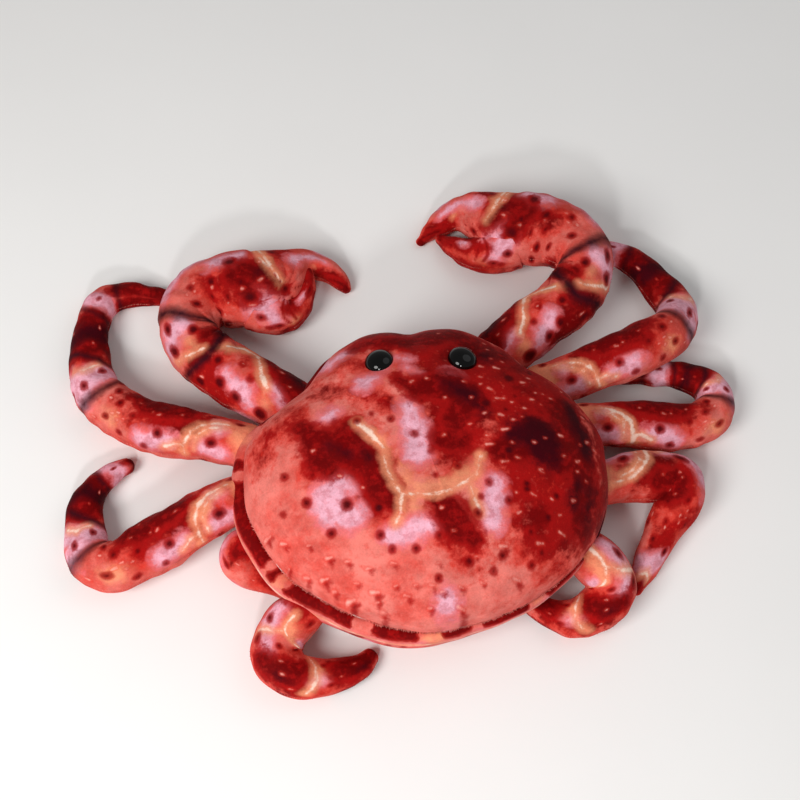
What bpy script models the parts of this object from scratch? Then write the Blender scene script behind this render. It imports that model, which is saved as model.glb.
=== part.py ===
# Plush crab: a stuffed cushion body with two claws, eight legs and two safety eyes.
# It lies on its belly on the floor, +Z up, with its head towards +Y.
# The origin is the middle of the flat belly. Sizes are in metres and degrees.

import math

import bmesh
import bpy
from mathutils import Matrix, Vector

COLLECTION_NAME = "plush_crab"

# One square of the sewing pattern, on which the body's outline, the limbs' routes and
# their half thicknesses are measured
PATTERN_SQUARE = 0.001

# Gap between two pieces that touch, and the cloth of the body
GAP = 0.0003
CLOTH = 0.002

# Edges sharper than this stay crisp in the shading
CRISP_EDGE = 50.0

# Body cushion
BODY_TOP = 0.125
RIM_HEIGHT = 0.048

# The seam lies inside the widest line of the body and above it, on the shoulder of a
# rolled rim. It is drawn over to the right, so the rim is broad on the left.
SEAM_INSET = 0.0065
SEAM_SHIFT = 0.0035
RIM_RINGS = 3
DOME_FULLNESS = 2.3
BELLY_FLAT_SHARE = 0.40
BODY_SEGMENTS = 40
DOME_RINGS = 8
BELLY_RINGS = 5

# Squares from the body's middle to its rim, each 15 degrees from head to tail
BODY_OUTLINE = (135, 141, 138, 133, 141, 148, 147, 142, 136, 128, 123, 121, 121)
OUTLINE_STEP = 15.0

# Eyes: a turned dome on a stem, held by a lock washer under the cloth
EYE_SPACING = 0.064
EYE_FORWARD = 0.0815
EYE_RADIUS = 0.0115
EYE_HEIGHT = 0.0085
EYE_SEAT = 0.0015
STEM_RADIUS = 0.003
STEM_LENGTH = 0.012
WASHER_RADIUS = 0.009
WASHER_THICKNESS = 0.0015
WASHER_SEAT = 0.0007
EYE_SIDES = 24
EYE_RINGS = 6

# Limbs: how far under the rim's line their middle is sewn, and how finely they are lofted
ROOT_DROP = 0.010
LEG_STEP = 0.0125
CLAW_STEP = 0.0125
LEG_SIDES = 12
CLAW_SIDES = 14
STATION_SPLITS = 8
FEWEST_STEPS = 4

# How far a limb's round ends reach past its last rings, as shares of their half width
ROOT_ROUNDING = 0.5
TIP_ROUNDING = 0.8

# A leg's thickness along its length, as shares of its own full half thickness
LEG_TAPER = (
    (0.00, 0.80), (0.12, 0.86), (0.30, 1.00), (0.52, 0.88), (0.65, 0.72),
    (0.80, 0.58), (0.90, 0.44), (1.00, 0.30),
)

# Each leg: the angle of its root from the head, its half thickness in squares, and its
# stations. A station is squares right and forward of the root on the rim, and the rise
# of its underside, from 0 on the floor to 1 at the height of the root.
LEGS = {
    "leg_left_1": (-70, 22, (
        (13, -4, 1.0), (-8, 2, 1.0), (-37, 11, 0.8), (-75, 24, 0.2), (-109, 43, 0.0),
        (-127, 65, 0.0), (-133, 98, 0.0), (-133, 128, 0.0), (-123, 152, 0.0),
        (-102, 160, 0.0), (-83, 158, 0.0), (-66, 155, 0.0),
    )),
    "leg_left_2": (-86, 23, (
        (16, 0, 1.0), (-5, -8, 1.0), (-33, -20, 0.5), (-65, -37, 0.0), (-94, -51, 0.0),
        (-114, -43, 0.0), (-121, -20, 0.0), (-120, 1, 0.0), (-114, 19, 0.0),
        (-103, 31, 0.0), (-91, 39, 0.0),
    )),
    "leg_left_3": (-106, 16, (
        (10, 9, 0.5), (-7, 8, 0.3), (-13, 3, 0.1), (-8, -6, 0.0), (7, -16, 0.0),
        (22, -25, 0.0),
    )),
    "leg_left_4": (-132, 21, (
        (11, 9, 1.0), (0, 0, 0.8), (-16, -13, 0.1), (-23, -31, 0.0), (-10, -46, 0.0),
        (11, -49, 0.0), (29, -45, 0.0), (42, -39, 0.0), (49, -32, 0.0),
    )),
    "leg_right_1": (50, 22, (
        (-7, 2, 1.35), (21, 10, 1.45), (51, 20, 1.5), (86, 32, 1.6), (117, 52, 1.1),
        (131, 82, 0.2), (122, 109, 0.0), (108, 132, 0.0), (92, 147, 0.0),
        (76, 155, 0.0), (61, 157, 0.0),
    )),
    "leg_right_2": (67, 21, (
        (-7, 3, 1.0), (23, 2, 0.7), (54, 3, 0.3), (88, 1, 0.0), (111, 8, 0.0),
        (122, 25, 0.0), (116, 42, 0.0), (102, 51, 0.0), (84, 56, 0.0), (66, 57, 0.0),
        (48, 56, 0.0),
    )),
    "leg_right_3": (88, 22, (
        (-12, 2, 1.0), (1, 2, 0.8), (32, 7, 0.3), (59, 8, 0.0), (65, -9, 0.0),
        (52, -27, 0.0), (40, -47, 0.0), (32, -60, 0.0), (25, -71, 0.0), (20, -80, 0.0),
    )),
    "leg_right_4": (110, 21, (
        (-19, 10, 1.0), (-9, -2, 1.0), (4, -15, 0.7), (12, -28, 0.3), (4, -42, 0.0),
        (-14, -50, 0.0), (-31, -48, 0.0), (-45, -38, 0.0), (-56, -28, 0.0),
    )),
}

# Each claw: the angle of its root, then the stations of its arm, hand and big finger,
# then those of its small finger. A station is as a leg's, with its half width and half
# height, on a scale where the arm's half thickness is ARM_UNITS.
CLAWS = {
    "claw_left": (
        -52,
        (
            (17, -13, 1.0, 22, 22), (-1, 2, 1.0, 24, 24), (-28, 21, 0.8, 25, 25),
            (-56, 44, 0.3, 25, 25), (-79, 74, 0.1, 25, 25), (-72, 107, 0.0, 30, 25),
            (-47, 118, 0.0, 34, 26), (-23, 120, 0.0, 34, 26), (-4, 130, 0.0, 28, 23),
            (10, 141, 0.0, 19, 19), (23, 147, 0.0, 12, 15), (37, 144, 0.0, 9, 12),
            (49, 135, 0.0, 7, 8), (55, 127, 0.0, 3, 5),
        ),
        (
            (-24, 106, 0.1, 26, 22), (-6, 98, 0.1, 20, 18), (9, 101, 0.3, 14, 14),
            (18, 113, 0.8, 9, 11), (21, 127, 1.2, 7, 8), (20, 139, 1.4, 4, 5),
        ),
    ),
    "claw_right": (
        29,
        (
            (-2, -4, 1.1, 22, 22), (14, 9, 1.3, 24, 24), (43, 30, 1.5, 24, 25),
            (68, 47, 1.8, 25, 24), (86, 79, 1.8, 25, 24), (76, 109, 1.3, 30, 26),
            (54, 126, 0.7, 35, 27), (31, 133, 0.5, 33, 26), (12, 144, 0.3, 26, 23),
            (-4, 155, 0.15, 18, 19), (-18, 158, 0.1, 13, 14), (-30, 153, 0.0, 10, 11),
            (-41, 145, 0.0, 6, 8), (-49, 138, 0.0, 4, 5),
        ),
        (
            (32, 118, 0.3, 25, 25), (8, 112, 0.15, 17, 20), (-10, 119, 0.0, 12, 15),
            (-21, 129, 0.0, 8, 10), (-30, 140, 0.0, 4, 5),
        ),
    ),
}
ARM_HALF_THICKNESS = 0.025
ARM_UNITS = 25

# Finish of each kind of piece: colour, roughness and metallic value
FINISHES = {
    "carapace_plush": ((0.66, 0.10, 0.08), 0.85, 0.0),
    "belly_plush": ((0.72, 0.16, 0.13), 0.85, 0.0),
    "limb_plush": ((0.60, 0.07, 0.06), 0.85, 0.0),
    "fibre_fill": ((0.86, 0.85, 0.82), 0.95, 0.0),
    "eye_plastic": ((0.006, 0.006, 0.007), 0.08, 0.0),
    "washer_plastic": ((0.80, 0.80, 0.78), 0.45, 0.0),
}


def clear_scene():
    for old in list(bpy.data.objects):
        bpy.data.objects.remove(old, do_unlink=True)


def new_collection(name):
    collection = bpy.data.collections.new(name)
    bpy.context.scene.collection.children.link(collection)
    return collection


def new_material(name, finish):
    colour, roughness, metallic = FINISHES[finish]
    material = bpy.data.materials.new(name)
    material.use_nodes = True
    shader = material.node_tree.nodes["Principled BSDF"]
    shader.inputs["Base Color"].default_value = (*colour, 1.0)
    shader.inputs["Roughness"].default_value = roughness
    shader.inputs["Metallic"].default_value = metallic
    material.diffuse_color = (*colour, 1.0)
    return material


def add_piece(name, mesh, collection, finish):
    piece = bpy.data.objects.new(name, mesh)
    collection.objects.link(piece)
    mesh.materials.clear()
    mesh.materials.append(new_material(name + "_" + finish, finish))
    mesh.shade_smooth()
    mesh.set_sharp_from_angle(angle=math.radians(CRISP_EDGE))
    return piece


def add_cutter(name, mesh, collection):
    cutter = bpy.data.objects.new(name, mesh)
    collection.objects.link(cutter)
    cutter.hide_render = True
    cutter.display_type = "WIRE"
    return cutter


def add_boolean(piece, other, operation):
    boolean = piece.modifiers.new(operation.lower() + "_" + other.name, "BOOLEAN")
    boolean.operation = operation
    boolean.solver = "EXACT"
    boolean.object = other


def loft(name, rings, start_point=None, end_point=None):
    """Skin a run of rings, and close an end by a fan to its point where one is given."""
    shape = bmesh.new()
    rows = [[shape.verts.new(point) for point in ring] for ring in rings]
    sides = len(rings[0])
    for low, high in zip(rows, rows[1:]):
        for k in range(sides):
            turn = (k + 1) % sides
            shape.faces.new((low[k], low[turn], high[turn], high[k]))
    for row, point in ((rows[0], start_point), (rows[-1], end_point)):
        if point is None:
            continue
        tip = shape.verts.new(point)
        for k in range(sides):
            shape.faces.new((row[k], row[(k + 1) % sides], tip))
    bmesh.ops.recalc_face_normals(shape, faces=shape.faces)
    mesh = bpy.data.meshes.new(name)
    shape.to_mesh(mesh)
    shape.free()
    return mesh


def spline(values, index, share):
    """Catmull-Rom value between values[index] and the next, the ends held."""
    last = len(values) - 1
    before, here, after, beyond = (
        values[min(max(index + step, 0), last)] for step in (-1, 0, 1, 2)
    )
    return 0.5 * (
        2 * here
        + (after - before) * share
        + (2 * before - 5 * here + 4 * after - beyond) * share ** 2
        + (3 * here - before - 3 * after + beyond) * share ** 3
    )


def body_radius(angle):
    """Distance from the body's middle to its rim, at degrees from the head."""
    mirrored = (BODY_OUTLINE[1],) + BODY_OUTLINE + (BODY_OUTLINE[-2],)
    place = abs((angle + 180) % 360 - 180) / OUTLINE_STEP
    index = min(int(place), len(BODY_OUTLINE) - 2)
    return spline(mirrored, index + 1, place - index) * PATTERN_SQUARE


def around(angle, radius, height):
    turn = math.radians(angle)
    return Vector((radius * math.sin(turn), radius * math.cos(turn), height))


def seam_inset(angle):
    return SEAM_INSET - SEAM_SHIFT * math.sin(math.radians(angle))


def seam_radius(angle):
    return body_radius(angle) - seam_inset(angle)


def seam_height(angle):
    return RIM_HEIGHT + seam_inset(angle)


def body_ring(point_at):
    """A ring round the body, from a function of the angle from the head."""
    return [point_at(-360.0 * k / BODY_SEGMENTS) for k in range(BODY_SEGMENTS)]


def dome_height(angle, share):
    """Height of the dome at a share of the way out to the seam."""
    foot = seam_height(angle) + GAP / 2
    climb = max(0.0, 1 - share ** DOME_FULLNESS) ** (1 / DOME_FULLNESS)
    return foot + (BODY_TOP - foot) * climb


def dome_rings():
    """The upper skin from the seam to the crown."""
    rings = []
    for k in range(DOME_RINGS):
        share = math.cos(0.5 * math.pi * k / DOME_RINGS) ** (2 / DOME_FULLNESS)
        rings.append(body_ring(
            lambda angle, s=share: around(angle, seam_radius(angle) * s, dome_height(angle, s))
        ))
    return rings


def belly_rings():
    """The lower skin from the flat of the belly, round the rim and in to the seam."""
    rings = []
    for k in range(BELLY_RINGS):
        turn = 0.5 * math.pi * (1 - k / BELLY_RINGS)
        share = BELLY_FLAT_SHARE + (1 - BELLY_FLAT_SHARE) * math.cos(turn)
        height = RIM_HEIGHT * (1 - math.sin(turn))
        rings.append(body_ring(
            lambda angle, s=share, h=height: around(angle, body_radius(angle) * s, h)
        ))
    for k in range(RIM_RINGS + 1):
        turn = 0.5 * math.pi * k / RIM_RINGS
        inward = 1 - math.cos(turn)
        climb = math.sin(turn)
        rings.append(body_ring(
            lambda angle, i=inward, c=climb: around(
                angle,
                body_radius(angle) - seam_inset(angle) * i,
                RIM_HEIGHT + (seam_inset(angle) - GAP / 2) * c,
            )
        ))
    return rings


def whole_body(name, outwards):
    """The closed form of the body, moved out along its normals, or in where negative."""
    mesh = loft(name, belly_rings() + dome_rings(), Vector((0, 0, 0)), Vector((0, 0, BODY_TOP)))
    shape = bmesh.new()
    shape.from_mesh(mesh)
    shape.normal_update()
    moves = [(v, v.normal * outwards * v.calc_shell_factor()) for v in shape.verts]
    for vertex, move in moves:
        vertex.co += move
    shape.to_mesh(mesh)
    shape.free()
    return mesh


def add_panel(name, rings, collection, finish, start_point=None, end_point=None):
    """A panel of body cloth: an open skin, thickened inwards."""
    piece = add_piece(name, loft(name, rings, start_point, end_point), collection, finish)
    shell = piece.modifiers.new("cloth_thickness", "SOLIDIFY")
    shell.thickness = CLOTH
    shell.offset = -1.0
    shell.use_even_offset = True
    return piece


def dome_frame(x, y):
    """The place on the dome above (x, y), turned so that its Z is the dome's normal."""

    def height(px, py):
        angle = math.degrees(math.atan2(px, py))
        return dome_height(angle, math.hypot(px, py) / seam_radius(angle))

    step = EYE_RADIUS
    slope_x = (height(x + step, y) - height(x - step, y)) / (2 * step)
    slope_y = (height(x, y + step) - height(x, y - step)) / (2 * step)
    normal = Vector((-slope_x, -slope_y, 1)).normalized()
    place = Vector((x, y, height(x, y)))
    return Matrix.Translation(place) @ normal.to_track_quat("Z", "Y").to_matrix().to_4x4()


def rod(name, radius, low, high, frame):
    """A cylinder between two heights of a frame."""
    shape = bmesh.new()
    bmesh.ops.create_cone(
        shape, cap_ends=True, segments=EYE_SIDES, radius1=radius, radius2=radius,
        depth=high - low,
        matrix=frame @ Matrix.Translation((0, 0, (low + high) / 2)),
    )
    mesh = bpy.data.meshes.new(name)
    shape.to_mesh(mesh)
    shape.free()
    return mesh


def eye_dome(name, frame):
    """A low polished dome with a closed underside, sunk a little into its seat."""
    rings = []
    levels = [(-EYE_SEAT, EYE_RADIUS)]
    for k in range(EYE_RINGS):
        turn = 0.5 * math.pi * k / EYE_RINGS
        levels.append((EYE_HEIGHT * math.sin(turn), EYE_RADIUS * math.cos(turn)))
    for height, radius in levels:
        ring = []
        for k in range(EYE_SIDES):
            turn = 2 * math.pi * k / EYE_SIDES
            local = Vector((radius * math.cos(turn), radius * math.sin(turn), height))
            ring.append(frame @ local)
        rings.append(ring)
    return loft(name, rings, frame @ Vector((0, 0, -EYE_SEAT)), frame @ Vector((0, 0, EYE_HEIGHT)))


def washer_top():
    """Depth of the lock washer's upper face below the dome's surface."""
    return -(CLOTH + GAP + WASHER_SEAT)


def add_eye(side, sign, carapace, filling, body_cutter, parts, cutters):
    frame = dome_frame(sign * EYE_SPACING / 2, EYE_FORWARD)
    eye = add_piece("eye_" + side, eye_dome("eye_" + side, frame), parts, "eye_plastic")
    add_boolean(eye, body_cutter, "DIFFERENCE")
    stem = rod("stem_" + side, STEM_RADIUS, -STEM_LENGTH, EYE_HEIGHT / 2, frame)
    add_boolean(eye, add_cutter("stem_" + side, stem, cutters), "UNION")

    top = washer_top()
    bottom = top - WASHER_THICKNESS
    ring = rod("washer", WASHER_RADIUS, bottom, top, frame)
    washer = add_piece("eye_washer_" + side, ring, parts, "washer_plastic")
    bore_mesh = rod("stem_bore_" + side, STEM_RADIUS + GAP, -STEM_LENGTH - GAP, EYE_HEIGHT, frame)
    bore = add_cutter("stem_bore_" + side, bore_mesh, cutters)
    add_boolean(washer, bore, "DIFFERENCE")
    add_boolean(carapace, bore, "DIFFERENCE")
    pocket_mesh = rod("washer_pocket_" + side, WASHER_RADIUS + GAP, bottom - GAP, EYE_HEIGHT, frame)
    pocket = add_cutter("washer_pocket_" + side, pocket_mesh, cutters)
    add_boolean(filling, pocket, "DIFFERENCE")
    add_boolean(filling, bore, "DIFFERENCE")


def smooth_stations(stations, step):
    """Points along a smooth curve through the stations, about one step apart."""
    columns = list(zip(*stations))
    fine = []
    for index in range(len(stations) - 1):
        for part in range(STATION_SPLITS):
            share = part / STATION_SPLITS
            fine.append(tuple(spline(column, index, share) for column in columns))
    fine.append(tuple(stations[-1]))
    travel = [0.0]
    for here, after in zip(fine, fine[1:]):
        travel.append(travel[-1] + (Vector(after[:3]) - Vector(here[:3])).length)
    count = max(FEWEST_STEPS, round(travel[-1] / step))
    picked = []
    cursor = 0
    for k in range(count + 1):
        goal = travel[-1] * k / count
        while cursor < len(fine) - 2 and travel[cursor + 1] < goal:
            cursor += 1
        share = (goal - travel[cursor]) / (travel[cursor + 1] - travel[cursor])
        picked.append(tuple(a + (b - a) * share for a, b in zip(fine[cursor], fine[cursor + 1])))
    return picked


def limb_mesh(name, stations, step, sides):
    """A stuffed tube along its stations (x, y, z, half width, half height), round at both ends."""
    points = smooth_stations(stations, step)
    centres = [Vector((x, y, max(z, high))) for x, y, z, wide, high in points]
    rings = []
    for k, (half_width, half_height) in enumerate(point[3:] for point in points):
        ahead = centres[min(k + 1, len(centres) - 1)] - centres[max(k - 1, 0)]
        ahead.normalize()
        across = Vector((0, 0, 1)).cross(ahead).normalized()
        up = ahead.cross(across)
        ring = []
        for j in range(sides):
            turn = 2 * math.pi * (j + 0.5) / sides
            ring.append(
                centres[k] + across * half_width * math.cos(turn) + up * half_height * math.sin(turn)
            )
        rings.append(ring)
    start_reach = points[0][3] * ROOT_ROUNDING
    end_reach = points[-1][3] * TIP_ROUNDING
    start_tip = centres[0] + (centres[0] - centres[1]).normalized() * start_reach
    end_tip = centres[-1] + (centres[-1] - centres[-2]).normalized() * end_reach
    return loft(name, rings, start_tip, end_tip)


def root_rise(half_height):
    """Height of a limb's underside where it is sewn in."""
    return RIM_HEIGHT - ROOT_DROP - half_height


def taper_at(share):
    for (from_share, from_value), (to_share, to_value) in zip(LEG_TAPER, LEG_TAPER[1:]):
        if share <= to_share:
            part = (share - from_share) / (to_share - from_share)
            return from_value + (to_value - from_value) * part
    return LEG_TAPER[-1][1]


def leg_stations(root_angle, half_squares, route):
    half_thickness = half_squares * PATTERN_SQUARE
    root = around(root_angle, body_radius(root_angle), 0.0)
    rise = root_rise(half_thickness)
    travel = [0.0]
    for here, after in zip(route, route[1:]):
        travel.append(travel[-1] + math.dist(here[:2], after[:2]))
    stations = []
    for (right, forward, lift), gone in zip(route, travel):
        half = half_thickness * taper_at(gone / travel[-1])
        place = root + Vector((right, forward, 0)) * PATTERN_SQUARE
        stations.append((place.x, place.y, lift * rise + half, half, half))
    return stations


def claw_stations(root_angle, route):
    root = around(root_angle, body_radius(root_angle), 0.0)
    rise = root_rise(ARM_HALF_THICKNESS)
    unit = ARM_HALF_THICKNESS / ARM_UNITS
    stations = []
    for right, forward, lift, half_width, half_height in route:
        place = root + Vector((right, forward, 0)) * PATTERN_SQUARE
        wide = half_width * unit
        high = half_height * unit
        stations.append((place.x, place.y, lift * rise + high, wide, high))
    return stations


def add_legs(body_cutter, parts):
    for name, (root_angle, half_squares, route) in LEGS.items():
        stations = leg_stations(root_angle, half_squares, route)
        mesh = limb_mesh(name, stations, LEG_STEP, LEG_SIDES)
        leg = add_piece(name, mesh, parts, "limb_plush")
        add_boolean(leg, body_cutter, "DIFFERENCE")


def add_claws(body_cutter, parts, cutters):
    for name, (root_angle, arm_route, finger_route) in CLAWS.items():
        arm = limb_mesh(name, claw_stations(root_angle, arm_route), CLAW_STEP, CLAW_SIDES)
        finger_name = name + "_small_finger"
        finger_stations = claw_stations(root_angle, finger_route)
        finger = limb_mesh(finger_name, finger_stations, CLAW_STEP, CLAW_SIDES)
        claw = add_piece(name, arm, parts, "limb_plush")
        add_boolean(claw, add_cutter(finger_name, finger, cutters), "UNION")
        add_boolean(claw, body_cutter, "DIFFERENCE")


def build():
    clear_scene()
    parts = new_collection(COLLECTION_NAME)
    cutters = new_collection("cutters")
    body_cutter = add_cutter("body_room", whole_body("body_room", GAP), cutters)

    carapace = add_panel(
        "carapace_panel", dome_rings(), parts, "carapace_plush", end_point=Vector((0, 0, BODY_TOP)),
    )
    add_panel("belly_panel", belly_rings(), parts, "belly_plush", start_point=Vector((0, 0, 0)))
    filling_mesh = whole_body("body_filling", -(CLOTH + GAP))
    filling = add_piece("body_filling", filling_mesh, parts, "fibre_fill")
    for side, sign in (("left", -1), ("right", 1)):
        add_eye(side, sign, carapace, filling, body_cutter, parts, cutters)
    add_claws(body_cutter, parts, cutters)
    add_legs(body_cutter, parts)


build()
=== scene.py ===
import math

import bpy
import numpy as np
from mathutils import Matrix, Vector
from mathutils.kdtree import KDTree


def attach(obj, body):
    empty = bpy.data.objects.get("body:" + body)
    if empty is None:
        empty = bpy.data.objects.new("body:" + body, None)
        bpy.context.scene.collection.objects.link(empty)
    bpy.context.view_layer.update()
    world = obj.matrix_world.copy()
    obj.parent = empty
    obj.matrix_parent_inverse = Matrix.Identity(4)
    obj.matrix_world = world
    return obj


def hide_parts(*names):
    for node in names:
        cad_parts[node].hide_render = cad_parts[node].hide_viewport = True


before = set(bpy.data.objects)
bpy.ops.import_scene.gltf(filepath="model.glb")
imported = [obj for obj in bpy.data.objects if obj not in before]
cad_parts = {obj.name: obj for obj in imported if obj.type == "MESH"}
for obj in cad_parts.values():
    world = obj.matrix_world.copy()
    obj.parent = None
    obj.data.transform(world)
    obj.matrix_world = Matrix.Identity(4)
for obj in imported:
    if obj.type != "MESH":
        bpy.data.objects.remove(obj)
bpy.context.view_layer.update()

# The looks of a plush crab. Lengths are in metres unless a name or table says
# millimetres. +Z is up and the head is towards +Y.
MM = 0.001

# Body cushion, as the part has it
BODY_TOP = 0.125
RIM_HEIGHT = 0.048
SEAM_INSET = 0.0065
SEAM_SHIFT = 0.0035
DOME_FULLNESS = 2.3
BELLY_FLAT_SHARE = 0.40
BODY_OUTLINE = np.array((135, 141, 138, 133, 141, 148, 147, 142, 136, 128, 123, 121, 121)) * MM
OUTLINE_STEP = 15.0

# Where the stuffing pushes the rim out past its pattern, and where it is drawn in:
# degrees from the head, reach in degrees, and height
LEFT_BULGE = 0.0045
RIM_RISES = ((12, 7.0, 0.0045), (-19, 6.0, 0.002))
RIM_HOLLOWS = ((-4, 6.0, 0.002), (-57, 14.0, 0.0075))

# Stuffing: its steps, and the share of the cloth's inward movement that is held back
STUFFING_STEPS = 20
HELD_BACK = 0.9

# Lumps of the stuffing, broad and small: height and size across
BODY_LUMPS = ((0.0014, 0.085), (0.0006, 0.032))
LIMB_LUMPS = ((0.0011, 0.045), (0.0006, 0.018))

# How pale each cloth is printed
CARAPACE_PALENESS = 0.65
BELLY_PALENESS = 0.6
LIMB_PALENESS = 0.4

# How finely the cushion is first made, in stitches round it and rows up it
ROUND_STEPS = 120
FLAT_ROWS = 4
BELLY_ROWS = 12
ROLL_ROWS = 4
DOME_ROWS = 26
SEAM_ROW = FLAT_ROWS + BELLY_ROWS + ROLL_ROWS - 1

# Eyes: where they sit, and the smooth dome and stem that each is drawn as
EYE_SPACING = 0.064
EYE_FORWARD = 0.0815
EYE_RADIUS = 0.0115
EYE_HEIGHT = 0.0085
EYE_SEAT = 0.0015
EYE_EDGE = 0.0003
EYE_STEM_RADIUS = 0.003
EYE_RINGS = 20
EYE_SIDES = 64

# Limbs
ROOT_DROP = 0.010
LEG_TAPER = (
    (0.00, 0.80), (0.12, 0.86), (0.30, 1.00), (0.52, 0.88), (0.65, 0.72),
    (0.80, 0.58), (0.90, 0.44), (1.00, 0.30),
)

# Each leg: the angle of its root from the head, its half thickness, and its stations:
# millimetres right and forward of the root on the rim, and the rise of its underside
LEGS = {
    "leg_left_1": (-70, 0.022, (
        (13, -4, 1.0), (-8, 2, 1.0), (-37, 11, 0.8), (-75, 24, 0.2), (-109, 43, 0.0),
        (-127, 65, 0.0), (-133, 98, 0.0), (-133, 128, 0.0), (-123, 152, 0.0),
        (-102, 160, 0.0), (-83, 158, 0.0), (-66, 155, 0.0),
    )),
    "leg_left_2": (-86, 0.023, (
        (16, 0, 1.0), (-5, -8, 1.0), (-33, -20, 0.5), (-65, -37, 0.0), (-94, -51, 0.0),
        (-114, -43, 0.0), (-121, -20, 0.0), (-120, 1, 0.0), (-114, 19, 0.0),
        (-103, 31, 0.0), (-91, 39, 0.0),
    )),
    "leg_left_3": (-106, 0.016, (
        (10, 9, 0.5), (-7, 8, 0.3), (-13, 3, 0.1), (-8, -6, 0.0), (7, -16, 0.0),
        (22, -25, 0.0),
    )),
    "leg_left_4": (-132, 0.021, (
        (11, 9, 1.0), (0, 0, 0.8), (-16, -13, 0.1), (-23, -31, 0.0), (-10, -46, 0.0),
        (11, -49, 0.0), (29, -45, 0.0), (42, -39, 0.0), (49, -32, 0.0),
    )),
    "leg_right_1": (50, 0.022, (
        (-7, 2, 1.35), (21, 10, 1.45), (51, 20, 1.5), (86, 32, 1.6), (117, 52, 1.1),
        (131, 82, 0.2), (122, 109, 0.0), (108, 132, 0.0), (92, 147, 0.0),
        (76, 155, 0.0), (61, 157, 0.0),
    )),
    "leg_right_2": (67, 0.021, (
        (-7, 3, 1.0), (23, 2, 0.7), (54, 3, 0.3), (88, 1, 0.0), (111, 8, 0.0),
        (122, 25, 0.0), (116, 42, 0.0), (102, 51, 0.0), (84, 56, 0.0), (66, 57, 0.0),
        (48, 56, 0.0),
    )),
    "leg_right_3": (88, 0.022, (
        (-12, 2, 1.0), (1, 2, 0.8), (32, 7, 0.3), (59, 8, 0.0), (65, -9, 0.0),
        (52, -27, 0.0), (40, -47, 0.0), (32, -60, 0.0), (25, -71, 0.0), (20, -80, 0.0),
    )),
    "leg_right_4": (110, 0.021, (
        (-19, 10, 1.0), (-9, -2, 1.0), (4, -15, 0.7), (12, -28, 0.3), (4, -42, 0.0),
        (-14, -50, 0.0), (-31, -48, 0.0), (-45, -38, 0.0), (-56, -28, 0.0),
    )),
}

# Each claw: the angle of its root, the stations of its arm, hand and big finger, and
# those of its small finger, with half width and half height in millimetres
CLAWS = {
    "claw_left": (
        -52,
        (
            (17, -13, 1.0, 22, 22), (-1, 2, 1.0, 24, 24), (-28, 21, 0.8, 25, 25),
            (-56, 44, 0.3, 25, 25), (-79, 74, 0.1, 25, 25), (-72, 107, 0.0, 30, 25),
            (-47, 118, 0.0, 34, 26), (-23, 120, 0.0, 34, 26), (-4, 130, 0.0, 28, 23),
            (10, 141, 0.0, 19, 19), (23, 147, 0.0, 12, 15), (37, 144, 0.0, 9, 12),
            (49, 135, 0.0, 7, 8), (55, 127, 0.0, 3, 5),
        ),
        (
            (-24, 106, 0.1, 26, 22), (-6, 98, 0.1, 20, 18), (9, 101, 0.3, 14, 14),
            (18, 113, 0.8, 9, 11), (21, 127, 1.2, 7, 8), (20, 139, 1.4, 4, 5),
        ),
    ),
    "claw_right": (
        29,
        (
            (-2, -4, 1.1, 22, 22), (14, 9, 1.3, 24, 24), (43, 30, 1.5, 24, 25),
            (68, 47, 1.8, 25, 24), (86, 79, 1.8, 25, 24), (76, 109, 1.3, 30, 26),
            (54, 126, 0.7, 35, 27), (31, 133, 0.5, 33, 26), (12, 144, 0.3, 26, 23),
            (-4, 155, 0.15, 18, 19), (-18, 158, 0.1, 13, 14), (-30, 153, 0.0, 10, 11),
            (-41, 145, 0.0, 6, 8), (-49, 138, 0.0, 4, 5),
        ),
        (
            (32, 118, 0.3, 25, 25), (8, 112, 0.15, 17, 20), (-10, 119, 0.0, 12, 15),
            (-21, 129, 0.0, 8, 10), (-30, 140, 0.0, 4, 5),
        ),
    ),
}
ARM_HALF_THICKNESS = 0.025

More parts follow.
